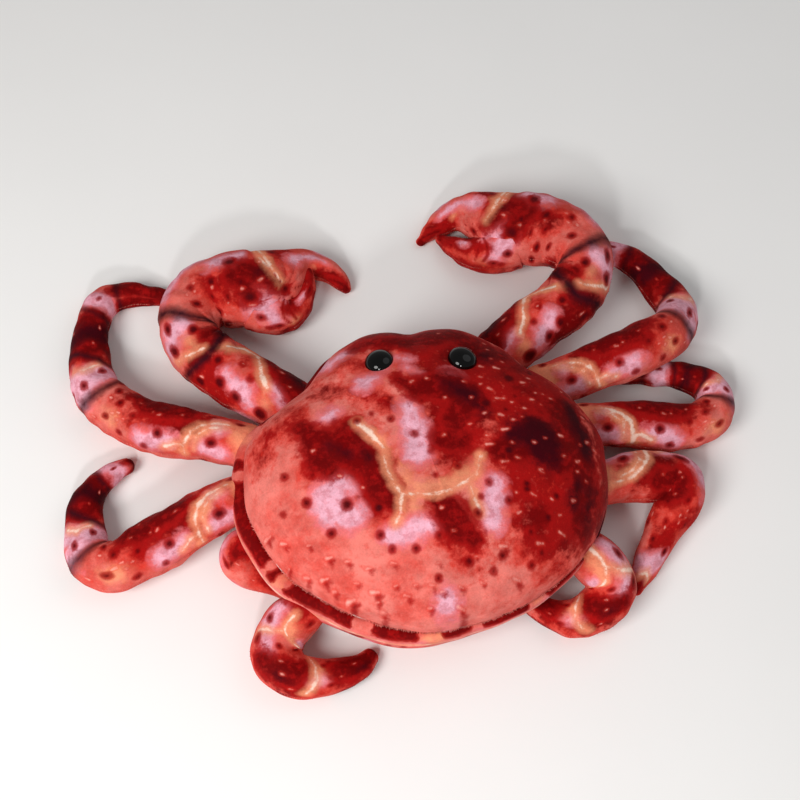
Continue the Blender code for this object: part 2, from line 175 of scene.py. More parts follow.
# The print of the body. A stroke is a run of points (right, forward, radius) in
# millimetres on the plan of the dome; one point alone is a round patch.
BODY_PRINT = {
    "dark": (
        ((-94, 26, 7), (-84, 16, 13), (-76, 7, 17), (-61, 8, 17), (-45, -4, 14),
         (-34, -29, 11), (-27, -41, 6)),
        ((-82, -1, 10), (-73, -8, 8.3)),
        ((-66, 20, 8), (-56, 26, 5)),
        ((4, -40, 7), (12, -46, 13), (20, -58, 12), (28, -66, 7)),
        ((0, 52, 11.6), (18, 54, 13.3), (33, 44, 14.1), (21, 25, 10)),
        ((-18, 60, 5), (-7, 48, 8.3)),
        ((55, -1, 11.6), (82, 10, 19.9), (99, -1, 16.6)),
        ((9, 9, 7.5), (25, 8, 10)),
        ((-50, 101, 4), (-30, 103, 6), (-7, 98, 8), (10, 106, 12), (26, 112, 10),
         (44, 98, 13), (62, 90, 11)),
        ((104, 40, 14), (112, 10, 14), (118, -20, 12), (112, -52, 9)),
    ),
    "night": (
        ((18, 56, 6), (34, 43, 8.5), (42, 32, 5)),
        ((63, 12, 9), (82, 13, 17), (87, -2, 14)),
        ((112, 44, 6), (118, 26, 9), (122, 6, 8)),
        ((112, -20, 5), (106, -38, 5)), ((122, -22, 5), (117, -46, 5)),
        ((-72, 10, 3.3), (-61, 1, 5)), ((-47, 2, 4), (-45, -2, 4)),
        ((52, 84, 6),),
    ),
    "lilac": (
        ((-74, -28, 11.6), (-73, -38, 13.3), (-59, -45, 10)),
        ((-69, -19, 7.5), (-59, -25, 5)),
        ((-13, 37, 7.5), (-11, 18, 10.8), (-7, 0, 10)),
        ((-75, 34, 5.8), (-67, 39, 3.3)),
        ((-46, 61, 6.6), (-37, 65, 4.1)),
        ((-79, 97, 8.3), (-70, 92, 6.6), (-57, 98, 4.1)),
        ((-31, -62, 6.6), (-16, -59, 9.1), (-3, -56, 5.8)),
        ((46, -28, 7.5), (42, -52, 8.3)),
        ((-50, 19, 5),),
        ((20, 63, 6.6), (25, 60, 5)),
        ((8, -105, 8.3),),
        ((-20, 83, 1.2), (-8, 80, 1.2)),
        ((-12, 71, 2.2), (-2, 66, 1.6)),
        ((-30, 74, 2.5),),
    ),
    "cream": (
        ((-52, 26, 2.5), (-41, 15, 2.5), (-34, 5, 2.1), (-32, -11, 1.7), (-27, -25, 1.3),
         (-22, -32, 1.2), (-12, -33, 1.2), (-2, -34, 1.3), (14, -31, 1.5), (25, -25, 1.7),
         (33, -19, 1.7), (37, -6, 1.8)),
        ((28, -28, 1.2), (31, -40, 1.7), (34, -47, 2.1)),
        ((-22, -32, 1.2), (-24, -47, 2.1), (-27, -53, 2.5)),
    ),
    "tan": (
        ((-22, -14, 5.8), (-16, -26, 5), (-1, -28, 5.8), (15, -26, 5), (27, -16, 5), (36, -4, 4)),
        ((-36, 11, 5.8), (-32, -3, 5)),
        ((-15, -42, 6.6),),
        ((32, -34, 4),),
    ),
    "heat": (
        ((62, 70, 34), (85, 30, 46), (90, -20, 42), (84, -56, 26)),
        ((10, 95, 30), (25, 55, 38), (20, 8, 26)),
        ((-60, 2, 28), (-42, -30, 18)),
        ((14, -56, 16), (26, -74, 9)),
        ((-10, 112, 20), (-50, 112, 12)),
        ((-74, 64, 5), (-46, 56, 8)), ((-34, 44, 5), (-22, 38, 5)), ((-62, 84, 6), (-36, 78, 8)),
        ((-127, 13, 4), (-117, 27, 7), (-102, 42, 5)),
        ((138, 34, 14), (141, -8, 14), (132, -46, 13)),
    ),
    "band": (),
}
# Round dark pits of the body's print: right, forward and radius
BODY_PITS = (
    (-86, 13, 1.6), (-62, -1, 2.1), (-47, 0, 1.6), (-107, -9, 2.1), (-86, -12, 2.1),
    (-91, -31, 2.6), (-62, -36, 3.5), (-39, -41, 3.3), (-74, -55, 2.6), (-109, -35, 1.6),
    (-10, 14, 2.3), (2, 1, 2.6), (42, -26, 2.1), (70, -30, 2.8), (59, -2, 3.0),
    (32, -48, 2.3), (85, -49, 3.0), (49, -76, 2.3), (24, -80, 3.0), (3, -64, 2.3),
    (33, -66, 2.1), (-14, -71, 2.1), (-31, -70, 1.9), (-39, -60, 2.1), (79, -73, 2.3),
    (93, -33, 2.8), (110, -26, 2.6), (-27, 27, 2.1), (-41, 33, 1.4), (-52, 28, 1.9),
    (-3, 40, 1.9), (67, 65, 2.6), (86, 77, 2.3), (35, -36, 1.4), (15, 13, 1.9),
    (3, -19, 1.4), (20, -13, 1.6), (107, -8, 2.3), (71, -60, 2.1), (56, -39, 2.1),
    (123, -15, 2.1), (1, -91, 1.9), (42, -86, 1.9), (71, -81, 2.1), (-79, 15, 1.4),
    (85, 74, 2.6), (66, 63, 4.2), (60, 33, 2.0), (59, -1, 3.6), (70, -26, 3.0),
    (45, 39, 4.0), (69, 46, 1.8),
)
# Pale flecks of the body's print: right, forward and size
BODY_DOTS = (
    (53, 104, 0.8), (54, 95, 0.8), (44, 62, 0.8), (43, 55, 0.8), (55, 83, 0.8), (64, 81, 0.8),
    (113, 93, 0.8), (111, 62, 0.8), (55, 43, 0.8), (60, 43, 0.8), (66, 40, 0.8), (72, 27, 0.8),
    (65, 24, 0.8), (75, 35, 0.8), (89, 40, 0.8), (92, 51, 0.8), (98, 48, 0.8), (125, 77, 0.8),
    (140, 57, 0.8), (88, 10, 0.8), (117, 10, 0.8), (62, 5, 0.8), (44, 11, 0.8), (57, -10, 0.8),
    (112, -12, 0.8), (65, -7, 0.8), (102, -2, 0.8), (32, 21, 0.8), (35, 43, 0.8), (119, -18, 0.8),
    (130, 9, 0.8), (121, 85, 0.8), (126, 83, 0.8), (86, 51, 0.8), (82, 44, 0.8), (50, 51, 1.6),
    (58, 73, 1.6), (83, 66, 1.6), (77, 60, 1.6), (102, 98, 1.6), (44, 30, 1.6), (56, 28, 1.6),
    (58, 16, 1.6), (124, 37, 1.6), (79, 6, 1.6), (101, 14, 1.6), (124, 14, 1.6), (45, 4, 1.6),
    (113, -4, 1.6), (53, -10, 1.6), (82, -15, 2.3), (-9, 58, 1.0), (3, 60, 1.0), (15, 43, 1.0),
    (17, 112, 1.0), (-54, 49, 1.0), (-50, -25, 1.0), (-66, -15, 1.0), (-23, -47, 1.0),
    (62, -33, 1.0), (89, -36, 1.5), (107, -34, 1.0), (95, -46, 1.0), (-85, 7, 1.0), (12, 13, 1.0),
    (6, -44, 1.0), (63, -47, 1.5), (31, 57, 1.0), (105, 75, 1.0), (46, 74, 1.5),
)
# Places of the small fins on the tail half: a pale fleck with a dark hook under each
BODY_FINS = (
    (-121, -46), (-109, -54), (-90, -60), (-63, -74), (-30, -79), (-80, -82), (-57, -88),
    (-44, -95), (-29, -93), (-15, -94), (-3, -95), (14, -60), (29, -77), (50, -70),
    (34, -93), (-107, -69), (-61, -97), (-38, -107), (-21, -100), (4, -99), (18, -96),
    (-76, -70), (-48, -80), (2, -81), (-43, -101), (60, -90), (-5, -108), (18, -108),
    (-93, -78), (-73, -90), (78, -67), (96, -59), (75, -34), (83, -17),
)


def all_round(*strokes):
    """The same strokes on the top of a limb and on either side of it."""
    return tuple(
        tuple((along, degrees + turn, radius) for along, degrees, radius in stroke)
        for turn in (0, 90, -90) for stroke in strokes
    )


# The print of a leg: strokes of (millimetres from the root, degrees round from the top
# towards the head, radius in millimetres)
LEG_PRINT = {
    "heat": (((60, 0, 26), (100, 40, 24)), ((205, 0, 34), (225, 60, 30), (190, -90, 24))),
    "dark": (
        ((64, 34, 10), (82, 30, 13), (98, 28, 12), (112, 44, 8)),
        ((70, 80, 12), (98, 84, 14)),
        *all_round(((186, 0, 7), (205, 0, 24), (222, 0, 7)), ((266, 0, 12), (300, 0, 22))),
    ),
    "night": (((198, -60, 7), (210, -10, 9), (204, 60, 7)), ((214, 100, 8), (200, -120, 8))),
    "lilac": (
        ((32, -58, 7), (44, -50, 8)), ((36, 10, 6),), ((72, -46, 6), (92, -52, 8)),
        ((152, -50, 8), (160, 10, 10), (158, 70, 9)), ((166, -100, 9), (160, 130, 9)),
        ((240, -40, 8), (246, 30, 9), (242, 90, 8)),
    ),
    "tan": (
        ((14, -40, 9), (22, 10, 8), (10, 60, 8)), ((50, -36, 5), (44, 0, 5), (33, 16, 5)),
        ((62, -70, 6), (72, -58, 4)), ((170, -30, 4), (166, 30, 4)), ((124, -40, 8),),
    ),
    "cream": (
        ((60, -78, 1.6), (59, -52, 1.8), (56, -18, 1.8), (49, 4, 1.7), (39, 20, 1.6), (26, 24, 1.4)),
        ((52, -60, 1.0), (50, -20, 1.1), (42, 2, 1.1), (32, 12, 1.0)),
        ((59, -52, 1.4), (67, -50, 1.6), (76, -64, 1.6)),
        ((172, -44, 1.2), (168, -8, 1.4), (172, 30, 1.2)),
    ),
    "band": (
        ((150, -180, 2.0), (149, -90, 2.1), (145, -15, 2.3), (144, 40, 2.2), (147, 120, 2.0),
         (150, 180, 2.0)),
        ((184, -180, 1.8), (189, -90, 2.0), (188, -39, 2.1), (180, 15, 2.2), (174, 66, 2.1),
         (178, 120, 2.0), (184, 180, 1.8)),
        ((230, -180, 1.5), (232, -90, 1.6), (231, -30, 1.7), (227, 21, 1.8), (226, 75, 1.7),
         (230, 180, 1.5)),
        ((262, -180, 1.2), (264, -40, 1.4), (261, 30, 1.4), (262, 180, 1.2)),
    ),
}
LEG_PITS = (
    (39, -33, 3.2), (81, -33, 3.0), (22, 40, 2.4), (92, -70, 2.0), (106, -12, 2.2),
    (122, 4, 2.4), (128, -40, 2.2), (132, 30, 2.6), (114, -62, 2.0), (156, -22, 2.6),
    (164, 34, 2.6), (158, -76, 2.4), (170, 84, 2.2), (98, 110, 2.4), (60, 120, 2.6),
    (124, 96, 2.4), (46, -100, 2.4), (110, -110, 2.4), (140, 60, 2.0), (244, 4, 2.0),
    (248, -60, 2.0),
)
LEG_DOTS = (
    (84, 6), (96, 52), (74, 56), (106, 24), (66, 20), (113, -26), (119, -18), (118, -34),
    (124, -26), (100, 84), (133, 4), (90, 8), (126, 60), (138, -60), (196, 20), (210, -50),
    (214, 40), (130, 130), (70, 140),
)

# The same for the rear legs, which are shorter
REAR_LEG_PRINT = {
    "heat": (((6, 0, 20), (10, 90, 18)), ((80, 20, 22),), ((120, 0, 24),)),
    "dark": (
        ((2, 0, 10), (6, 60, 12)), ((62, 34, 8), (72, 14, 11), (80, -10, 8)),
        ((118, 0, 14), (140, 0, 16)), ((118, 120, 12), (140, 120, 14)),
    ),
    "night": (((70, 30, 4),), ((130, 20, 6),)),
    "lilac": (((26, 30, 8), (44, 26, 9), (54, 20, 7)), ((40, -70, 7),), ((96, 20, 6),)),
    "tan": (((28, -30, 7), (40, -40, 6)), ((90, -20, 6), (100, 10, 6)), ((18, 60, 6),)),
    "cream": (
        ((20, -9, 1.8), (28, -10, 1.8), (34, -15, 2.0), (44, -39, 1.7), (50, -70, 1.4)),
        ((34, -15, 1.6), (42, 12, 1.6), (46, 50, 1.4)),
        ((84, -60, 1.4), (92, -20, 1.6), (94, 20, 1.6), (88, 60, 1.4)),
    ),
    "band": (),
}
REAR_LEG_PITS = (
    (34, 34, 2.6), (50, 44, 2.4), (54, -10, 2.2), (26, 70, 2.4), (64, -50, 2.4),
    (100, -30, 2.0), (104, 40, 2.0), (16, -50, 2.4), (76, 90, 2.4),
)
REAR_LEG_DOTS = ((9, -6), (72, 22), (66, 2), (80, 50), (112, 20), (124, -10), (58, 70))

# The same for a claw's arm, hand and big finger, and for its small finger
CLAW_PRINT = {
    "heat": (
        ((20, 20, 24), (44, 56, 22)), ((70, -70, 24), (90, -30, 20)), ((176, 20, 10), (205, -6, 16)),
        ((290, 60, 22), (314, 20, 18)), ((244, -20, 12),),
    ),
    "dark": (
        ((54, 62, 6), (38, 46, 10), (22, 24, 9), (10, 0, 8)),
        ((209, -2, 7.8), (222, 2, 9), (228, 26, 6.7), (230, 40, 4)),
        ((198, 3, 5.6), (208, 18, 6.7), (213, 38, 6)),
        ((108, 16, 6), (105, 36, 8), (104, 60, 8)),
        ((296, 60, 4), (305, 39, 5), (314, 12, 6), (314, 120, 6)),
        ((146, 104, 9), (158, 130, 10)), ((60, 120, 14),),
    ),
    "night": (((18, 40, 8), (30, 66, 8)), ((105, 50, 6),), ((222, 6, 4),)),
    "lilac": (
        ((187, -26, 6), (198, -26, 6.7), (207, -38, 4.4)),
        ((217, 42, 6.7), (219, 63, 9), (221, 92, 6)),
        ((66, -24, 5.6), (60, -34, 7), (48, -42, 7.8), (42, -56, 5)),
        ((28, -6, 5), (18, -18, 4.4)),
        ((126, -46, 7), (128, -10, 7), (122, -66, 7)),
        ((250, 6, 6), (268, 9, 6), (284, 3, 5.6)), ((160, -60, 10), (180, -70, 9)),
        ((282, -50, 8),), ((46, -120, 12),),
    ),
    "tan": (
        ((122, -18, 7), (112, -16, 6)), ((31, -39, 8),), ((86, 20, 6), (72, 42, 6), (62, 54, 6)),
        ((231, -48, 6), (230, -10, 4)), ((272, 40, 5),),
    ),
    "cream": (
        ((84, 26, 2.4), (72, 44, 2.6), (60, 50, 2.4), (51, 27, 2.2), (44, 6, 2), (34, -12, 1.6)),
        ((232, -70, 2.4), (231, -48, 2.2), (230, -10, 1.8), (230, 10, 1.6), (232, 33, 1.4)),
        ((226, -60, 1.2), (226, -20, 1.2), (229, 10, 1)),
        ((114, -72, 1.6), (106, -36, 1.8), (99, -8, 1.6)),
    ),
    "band": (
        ((132, -180, 2.4), (141, -110, 2.6), (143, -60, 2.8), (141, -30, 3), (137, -4, 3.2),
         (130, 33, 3.6), (120, 56, 3.4), (112, 90, 2.6), (120, 150, 2.4), (132, 180, 2.4)),
        ((100, -180, 2.4), (103, -110, 2.6), (100, -70, 2.8), (95, -45, 3.2), (90, -18, 3.4),
         (93, 12, 3.2), (98, 36, 3), (103, 70, 2.8), (102, 130, 2.4), (100, 180, 2.4)),
    ),
}
CLAW_PITS = (
    (199, -20, 3.6), (164, -8, 2.4), (182, 7, 3.2), (150, 18, 3.2), (176, 30, 2.4),
    (207, 16, 2.8), (212, 39, 3.6), (179, 60, 3.2), (186, 90, 3.4), (216, 75, 3.0),
    (193, 36, 2.4), (131, -42, 3.0), (119, 4, 3.4), (118, -56, 3.6), (80, -9, 3.4),
    (69, -45, 4.0), (54, -57, 3.6), (87, -66, 4.0), (60, 6, 1.8), (49, -12, 1.8),
    (31, -66, 5.0), (72, -90, 2.2), (205, 110, 3.0), (240, -30, 2.4), (160, 60, 2.6),
)
CLAW_DOTS = (
    (220, 15), (208, 26), (181, 16), (153, 28), (192, 46), (224, -15), (213, 52), (186, 66),
    (157, -6), (163, 3), (169, -9), (161, -14), (34, 36), (87, -56), (60, 8), (22, 15), (40, 62),
)
FINGER_PRINT = {
    "heat": (
        ((36, 0, 18), (60, 0, 26), (78, 0, 20)), ((30, -100, 24), (70, -100, 24)),
        ((44, 120, 26), (70, 120, 24)),
    ),
    "dark": (
        ((42, -27, 5),), ((56, 33, 5),), ((26, 21, 3),), ((72, 45, 5), (78, -10, 5)),
        ((30, -80, 8), (50, -90, 8)),
    ),
    "night": (((42, -27, 2),),),
    "lilac": (
        ((3, 6, 6.7),), ((12, 21, 8.9), (19, 45, 5.6)), ((68, -50, 3),), ((46, 9, 4.5),),
        ((24, -12, 2),),
    ),
    "tan": (((30, 55, 4),),),
    "cream": (),
    "band": (),
    # Painted shade along the creases round the finger near its root
    "painted_crease_shade": (
        ((26, -36, 0.7), (23, 6, 0.9), (24, 39, 0.8), (28, 60, 0.5)),
        ((28, -6, 0.6), (30, 30, 0.8), (32, 57, 0.5)),
    ),
}
FINGER_PITS = ((7, 99, 2.6), (22, 63, 2.2), (11, 45, 2.6), (18, 69, 1.8), (58, -10, 1.8))
FINGER_DOTS = ((66, -56), (44, 16), (30, -12))
# Millimetres round a limb to each degree, which the prints above were drawn with
DEGREE_ON_LEG = 0.37
DEGREE_ON_CLAW = 0.43

# How a leg's print was sewn: millimetres along the leg, and along the print that lies there
LEG_FIT = {
    "leg_left_1": ((0, 300), (0, 300)),
    "leg_left_2": ((0, 144, 180, 216, 300), (8, 146, 186, 230, 320)),
    "leg_right_1": ((0, 136, 194, 245, 300), (8, 146, 186, 230, 280)),
    "leg_right_2": ((0, 137, 165, 189, 250), (14, 146, 186, 230, 300)),
    "leg_right_3": ((0, 170), (14, 174)),
}

# The same print cut without its black bands, for the third leg
THIRD_LEG_PRINT = dict(
    LEG_PRINT,
    heat=(((60, 0, 26), (100, 40, 24)), ((120, -40, 14), (150, 0, 16)), ((178, 0, 20),)),
    dark=(
        ((64, 34, 10), (82, 30, 13), (98, 28, 12), (112, 44, 8)), ((70, 80, 12), (98, 84, 14)),
        ((182, 0, 8), (196, 0, 14)),
    ),
    night=(),
    lilac=(
        ((32, -58, 7), (44, -50, 8)), ((72, -46, 6), (92, -52, 8)),
        ((156, -46, 7), (166, 0, 10), (164, 50, 8)),
    ),
    tan=(((14, -40, 9), (22, 10, 8), (10, 60, 8)), ((50, -36, 5), (44, 0, 5), (33, 16, 5))),
    band=(),
)
THIRD_LEG_PITS = (
    (39, -33, 3.2), (81, -33, 3.0), (92, -70, 2.0), (106, -12, 2.2), (100, 20, 2.6), (114, 30, 2.4),
    (128, 10, 2.2), (144, 24, 2.8), (148, -36, 2.8), (122, -50, 2.0), (132, 70, 2.4), (46, -100, 2.4),
)

# The little that shows of the folded leg
FOLDED_LEG_PRINT = {
    "heat": (((14, 0, 14), (20, -30, 12)), ((60, 0, 14),)),
    "dark": (((14, -40, 5), (19, -18, 7), (24, -6, 5)), ((70, 0, 10),)),
    "night": (),
    "lilac": (((20, 50, 5), (24, 70, 5)), ((44, 100, 5),)),
    "tan": (((6, 20, 5),),),
    "cream": (),
    "band": (),
}
FOLDED_LEG_PITS = ((30, 44, 2.0), (44, -20, 1.8))
FOLDED_LEG_DOTS = ((34, 12), (50, 30))

# Where a limb's two seams run, in degrees from its top, and the pile along them
SEAM_DEGREES = 90
# Painted highlight: how pale the fringe's tufts are printed, for the pile that catches the light along
# the seams
FRINGE_PAINTED_HIGHLIGHT = 0.56
LIMB_FRINGE = {"Spacing": 0.0013, "Tuft Length": 0.0013, "Tuft Width": 0.0010}
BODY_FRINGE = {"Spacing": 0.0010, "Tuft Length": 0.0021, "Tuft Width": 0.0010}

# Where a claw's cloth is drawn in, with shade painted into its folds: along, round, reach, depth and
# number of folds
CLAW_PINCHES = {
    "claw_left": ((113, 84, 38, 2.6, 17), (233, 46, 20, 2.4, 10)),
    "claw_right": ((108, 88, 38, 2.6, 17), (236, 70, 12, 1.6, 8)),
}
# How a claw's print was sewn, in the same way as a leg's
CLAW_FIT = {
    "claw_left": ((0, 320), (0, 320)),
    "claw_right": ((0, 320), (6, 326)),
}

# How each kind of limb is made: length of a step, points round it, millimetres from the
# root to where its seams' pile starts, and the seeds of its folds and of its lumps
LIMB_MAKES = {
    "leg": (0.006, 20, 26, 0, 60),
    "claw": (0.006, 24, 26, 20, 80),
    "finger": (0.005, 20, 30, 30, 90),
}

# The rounded end of a limb: its rings and its length beside the limb's half width
TIP_RINGS = 4
TIP_REACH = 0.8

# The rim's radius, in millimetres, that the belly's print was laid out for
PRINTED_RIM_RADIUS = 130

# Dashes along the rolled rim: from and to, in degrees from the head
RIM_DASHES = (
    (-66, -27), (-82, -78), (-115, -85), (-121, -117), (-150, -125), (-174, -157),
    (166, 177), (143, 162), (104, 136), (62, 96), (24, 54),
)

# The fields of the print, three to each stored attribute, by the name of its socket. The pit field also
# carries the shade painted into folds and creases.
PRINT_FIELDS = {
    "Ground": ("print_ground", ("heat", "lilac", "tan")),
    "Shapes": ("print_shapes", ("dark", "night", "cream")),
    "Marks": ("print_marks", ("band", "pit", "dot")),
}

# How soft the edge of each field is, in millimetres, and how many times its listed size
# a pit is drawn
EDGE_SOFTNESS = {
    "heat": 18, "lilac": 8, "tan": 9, "dark": 8, "night": 9, "cream": 7, "band": 5.5,
}
PIT_SOFTNESS = 3.0
DOT_SOFTNESS = 1.9
# How soft the edge of the shade painted along creases is, in millimetres
PAINTED_CREASE_SHADE_SOFTNESS = 1.6
PIT_GROWTH = 1.3

# The depth that a place outside every mark starts from, in millimetres
FAR_OUTSIDE = -1e3

# The camera as it stood for the photograph: degrees, metres, and the width it takes in
CAMERA_ELEVATION = 64
CAMERA_AZIMUTH = -8
CAMERA_ROLL = 5
CAMERA_DISTANCE = 1.05
CAMERA_TARGET = (-0.0125, 0.0885, 0.03)
VIEW_WIDTH = 0.664


def spline(values, index, share):
    """Catmull-Rom value between values[index] and the next, the ends held."""
    last = len(values) - 1
    before, here, after, beyond = (
        values[np.clip(index + step, 0, last)] for step in (-1, 0, 1, 2)
    )
    if values.ndim > 1:
        share = share[:, None]
    return 0.5 * (
        2 * here
        + (after - before) * share
        + (2 * before - 5 * here + 4 * after - beyond) * share ** 2
        + (3 * here - before - 3 * after + beyond) * share ** 3
    )


def rim_radius(angle):
    """Distance from the body's middle to its rim, at degrees from the head."""
    mirrored = np.concatenate(([BODY_OUTLINE[1]], BODY_OUTLINE, [BODY_OUTLINE[-2]]))
    place = np.abs((np.asarray(angle, float) + 180) % 360 - 180) / OUTLINE_STEP
    index = np.minimum(place.astype(int), len(BODY_OUTLINE) - 2)
    return spline(mirrored, index + 1, place - index)


def seam_inset(angle):
    """How far inside the rim its seam lies."""
    return SEAM_INSET - SEAM_SHIFT * np.sin(np.radians(angle))


def rim_waves(angle, waves):
    """Smooth rises along the rim, each at its own place."""
    return sum(height * np.exp(-(((angle - at) / reach) ** 2)) for at, reach, height in waves)


def rim_bulge(angle):
    """How far the stuffing pushes the rim out past its pattern: on the left, and at the brows."""
    turn = np.radians(angle)
    left = LEFT_BULGE * np.clip(-np.sin(turn + 0.25), 0, 1) ** 0.8
    return left + rim_waves(angle, RIM_RISES) - rim_waves(angle, RIM_HOLLOWS)


def body_reach(angle, height):
    """Distance from the body's middle to its surface at an angle and a height."""
    rim = rim_radius(angle) + rim_bulge(angle) * np.clip(height / RIM_HEIGHT, 0, 1)
    inset = seam_inset(angle)
    low = np.clip(1 - height / RIM_HEIGHT, 0, 1)
    under = rim * (BELLY_FLAT_SHARE + (1 - BELLY_FLAT_SHARE) * np.sqrt(1 - low ** 2))
    roll = np.clip((height - RIM_HEIGHT) / inset, 0, 1)
    rolled = rim - inset * (1 - np.sqrt(1 - roll ** 2))
    foot = RIM_HEIGHT + inset
    climb = np.clip((height - foot) / (BODY_TOP - foot), 0, 1)
    dome = (rim - inset) * (1 - climb ** DOME_FULLNESS) ** (1 / DOME_FULLNESS)
    return np.where(height < RIM_HEIGHT, under, np.where(height < foot, rolled, dome))


def soft_waves(points, size, seed, count=7):
    """A smooth random field from -1 to 1 over points, with bumps about one size across."""
    chance = np.random.default_rng(seed)
    total = np.zeros(len(points))
    for _ in range(count):
        heading = chance.normal(size=3)
        heading /= np.linalg.norm(heading)
        wave = points @ heading * (2 * math.pi / size) * chance.uniform(0.7, 1.4)
        total += np.sin(wave + chance.uniform(0, 2 * math.pi))
    return total / math.sqrt(count) / 1.4


def stuffing_lumps(points, lumps, seed):
    """Height of the stuffing's lumps under the cloth at each point."""
    return sum(height * soft_waves(points, size, seed + k) for k, (height, size) in enumerate(lumps))


def stroke_depth(places, strokes):
    """How deep each place lies inside the nearest stroke, in millimetres."""
    depth = np.full(len(places), FAR_OUTSIDE)
    for stroke in strokes:
        run = list(stroke) if len(stroke) > 1 else list(stroke) * 2
        for start, end in zip(run, run[1:]):
            a = np.array(start[:2], float)
            along = np.array(end[:2], float) - a
            length = max(along @ along, 1e-9)
            share = np.clip((places - a) @ along / length, 0, 1)
            radius = start[2] + (end[2] - start[2]) * share
            gap = np.linalg.norm(places - a - share[:, None] * along, axis=1)
            depth = np.maximum(depth, radius - gap)
    return depth


def round_marks(places, marks, grow):
    """As stroke_depth, for many small round marks."""
    depth = np.full(len(places), FAR_OUTSIDE)
    for mark in marks:
        gap = np.linalg.norm(places - np.array(mark[:2], float), axis=1)
        depth = np.maximum(depth, mark[2] * grow - gap)
    return depth


def fleck_marks(places, marks):
    """As stroke_depth, for small flecks that each have a length and a lean of their own."""
    chance = np.random.default_rng(17)
    depth = np.full(len(places), FAR_OUTSIDE)
    for x, y, *given in marks:
        size = (given[0] if given else 1.0) * chance.uniform(0.6, 1.25)
        lean = chance.uniform(-0.5, 0.4)
        reach = size * chance.uniform(0.4, 1.5) * np.array((math.cos(lean), math.sin(lean)))
        wide = chance.uniform(0.9, 1.3) * size ** 0.4
        start, end = np.array((x, y)) - reach, np.array((x, y)) + reach
        run = ((start[0], start[1], wide), (end[0], end[1], wide * 0.6))
        depth = np.maximum(depth, stroke_depth(places, (run,)))
    return depth


def as_field(depth, soft):
    """0 outside a shape, 0.5 on its edge and 1 well inside."""
    return np.clip(0.5 + depth / (2 * soft), 0, 1)


def store(mesh, name, columns):
    """Keeps three values at every point of a mesh."""
    field = mesh.attributes.new(name, "FLOAT_VECTOR", "POINT")
    field.data.foreach_set("vector", np.column_stack(columns).astype(np.float32).ravel())


def print_on(mesh, places, design, pits, dots, extra):
    """Stores the fields of the print that the cloth's material turns into colour."""
    fields = {label: as_field(stroke_depth(places, design[label]), soft)
              for label, soft in EDGE_SOFTNESS.items()}
    fields["pit"] = as_field(round_marks(places, pits, PIT_GROWTH), PIT_SOFTNESS)
    fields["dot"] = as_field(fleck_marks(places, dots), DOT_SOFTNESS)
    # Painted shade: the crease strokes darken the print through its pit field
    if "painted_crease_shade" in design:
        painted_crease_shade = as_field(stroke_depth(places, design["painted_crease_shade"]), PAINTED_CREASE_SHADE_SOFTNESS)
        fields["pit"] = np.maximum(fields["pit"], painted_crease_shade)
    for label, values in extra.items():
        fields[label] = np.maximum(fields[label], values)
    for name, labels in PRINT_FIELDS.values():
        store(mesh, name, [fields[label] for label in labels])


def mesh_points(mesh):
    """Places of a mesh's points, one row each."""
    points = np.empty(len(mesh.vertices) * 3)
    mesh.vertices.foreach_get("co", points)
    return points.reshape(-1, 3)


def mesh_normals(mesh):
    """Which way a mesh faces at each point."""
    normals = np.empty(len(mesh.vertices) * 3)
    mesh.vertex_normals.foreach_get("vector", normals)
    return normals.reshape(-1, 3)


def set_points(mesh, points):
    mesh.vertices.foreach_set("co", np.asarray(points, float).ravel())
    mesh.update()


def skin(name, grid, start_point=None, end_point=None):
    """A mesh over a grid of points, rows by columns round, and a fan at either end."""
    rows, columns = grid.shape[:2]
    points = [tuple(p) for p in grid.reshape(-1, 3)]
    faces = []
    for i in range(rows - 1):
        for j in range(columns):
            k = (j + 1) % columns
            a, b = i * columns, (i + 1) * columns
            faces.append((a + j, a + k, b + k, b + j))
    for row, point, flip in ((0, start_point, True), (rows - 1, end_point, False)):
        if point is None:
            continue
        points.append(tuple(point))
        tip = len(points) - 1
        for j in range(columns):
            k = (j + 1) % columns
            edge = (row * columns + j, row * columns + k)
            faces.append((edge[1], edge[0], tip) if flip else (edge[0], edge[1], tip))
    mesh = bpy.data.meshes.new(name)
    mesh.from_pydata(points, [], faces)
    mesh.update()
    return mesh


def face_outwards(mesh):
    """Turns the whole skin over if its volume comes out negative."""
    points = mesh_points(mesh)
    mesh.calc_loop_triangles()
    corners = np.empty(len(mesh.loop_triangles) * 3, int)
    mesh.loop_triangles.foreach_get("vertices", corners)
    a, b, c = (points[corners.reshape(-1, 3)[:, k]] for k in range(3))
    if np.einsum("ij,ij->i", a, np.cross(b, c)).sum() < 0:
        mesh.flip_normals()


def show(name, mesh):
    """A new object in the scene."""
    piece = bpy.data.objects.new(name, mesh)
    bpy.context.scene.collection.objects.link(piece)
    return piece


def plain_mesh(piece):
    """The piece's mesh with its modifiers worked in."""
    graph = bpy.context.evaluated_depsgraph_get()
    return bpy.data.meshes.new_from_object(piece.evaluated_get(graph), depsgraph=graph)


def smoothed(mesh, levels):
    """A finer copy of a mesh, its attributes carried over."""
    piece = show("smoothing", mesh)
    rounding = piece.modifiers.new("rounding", "SUBSURF")
    rounding.levels = levels
    rounding.render_levels = levels
    finer = plain_mesh(piece)
    bpy.data.objects.remove(piece, do_unlink=True)
    return finer


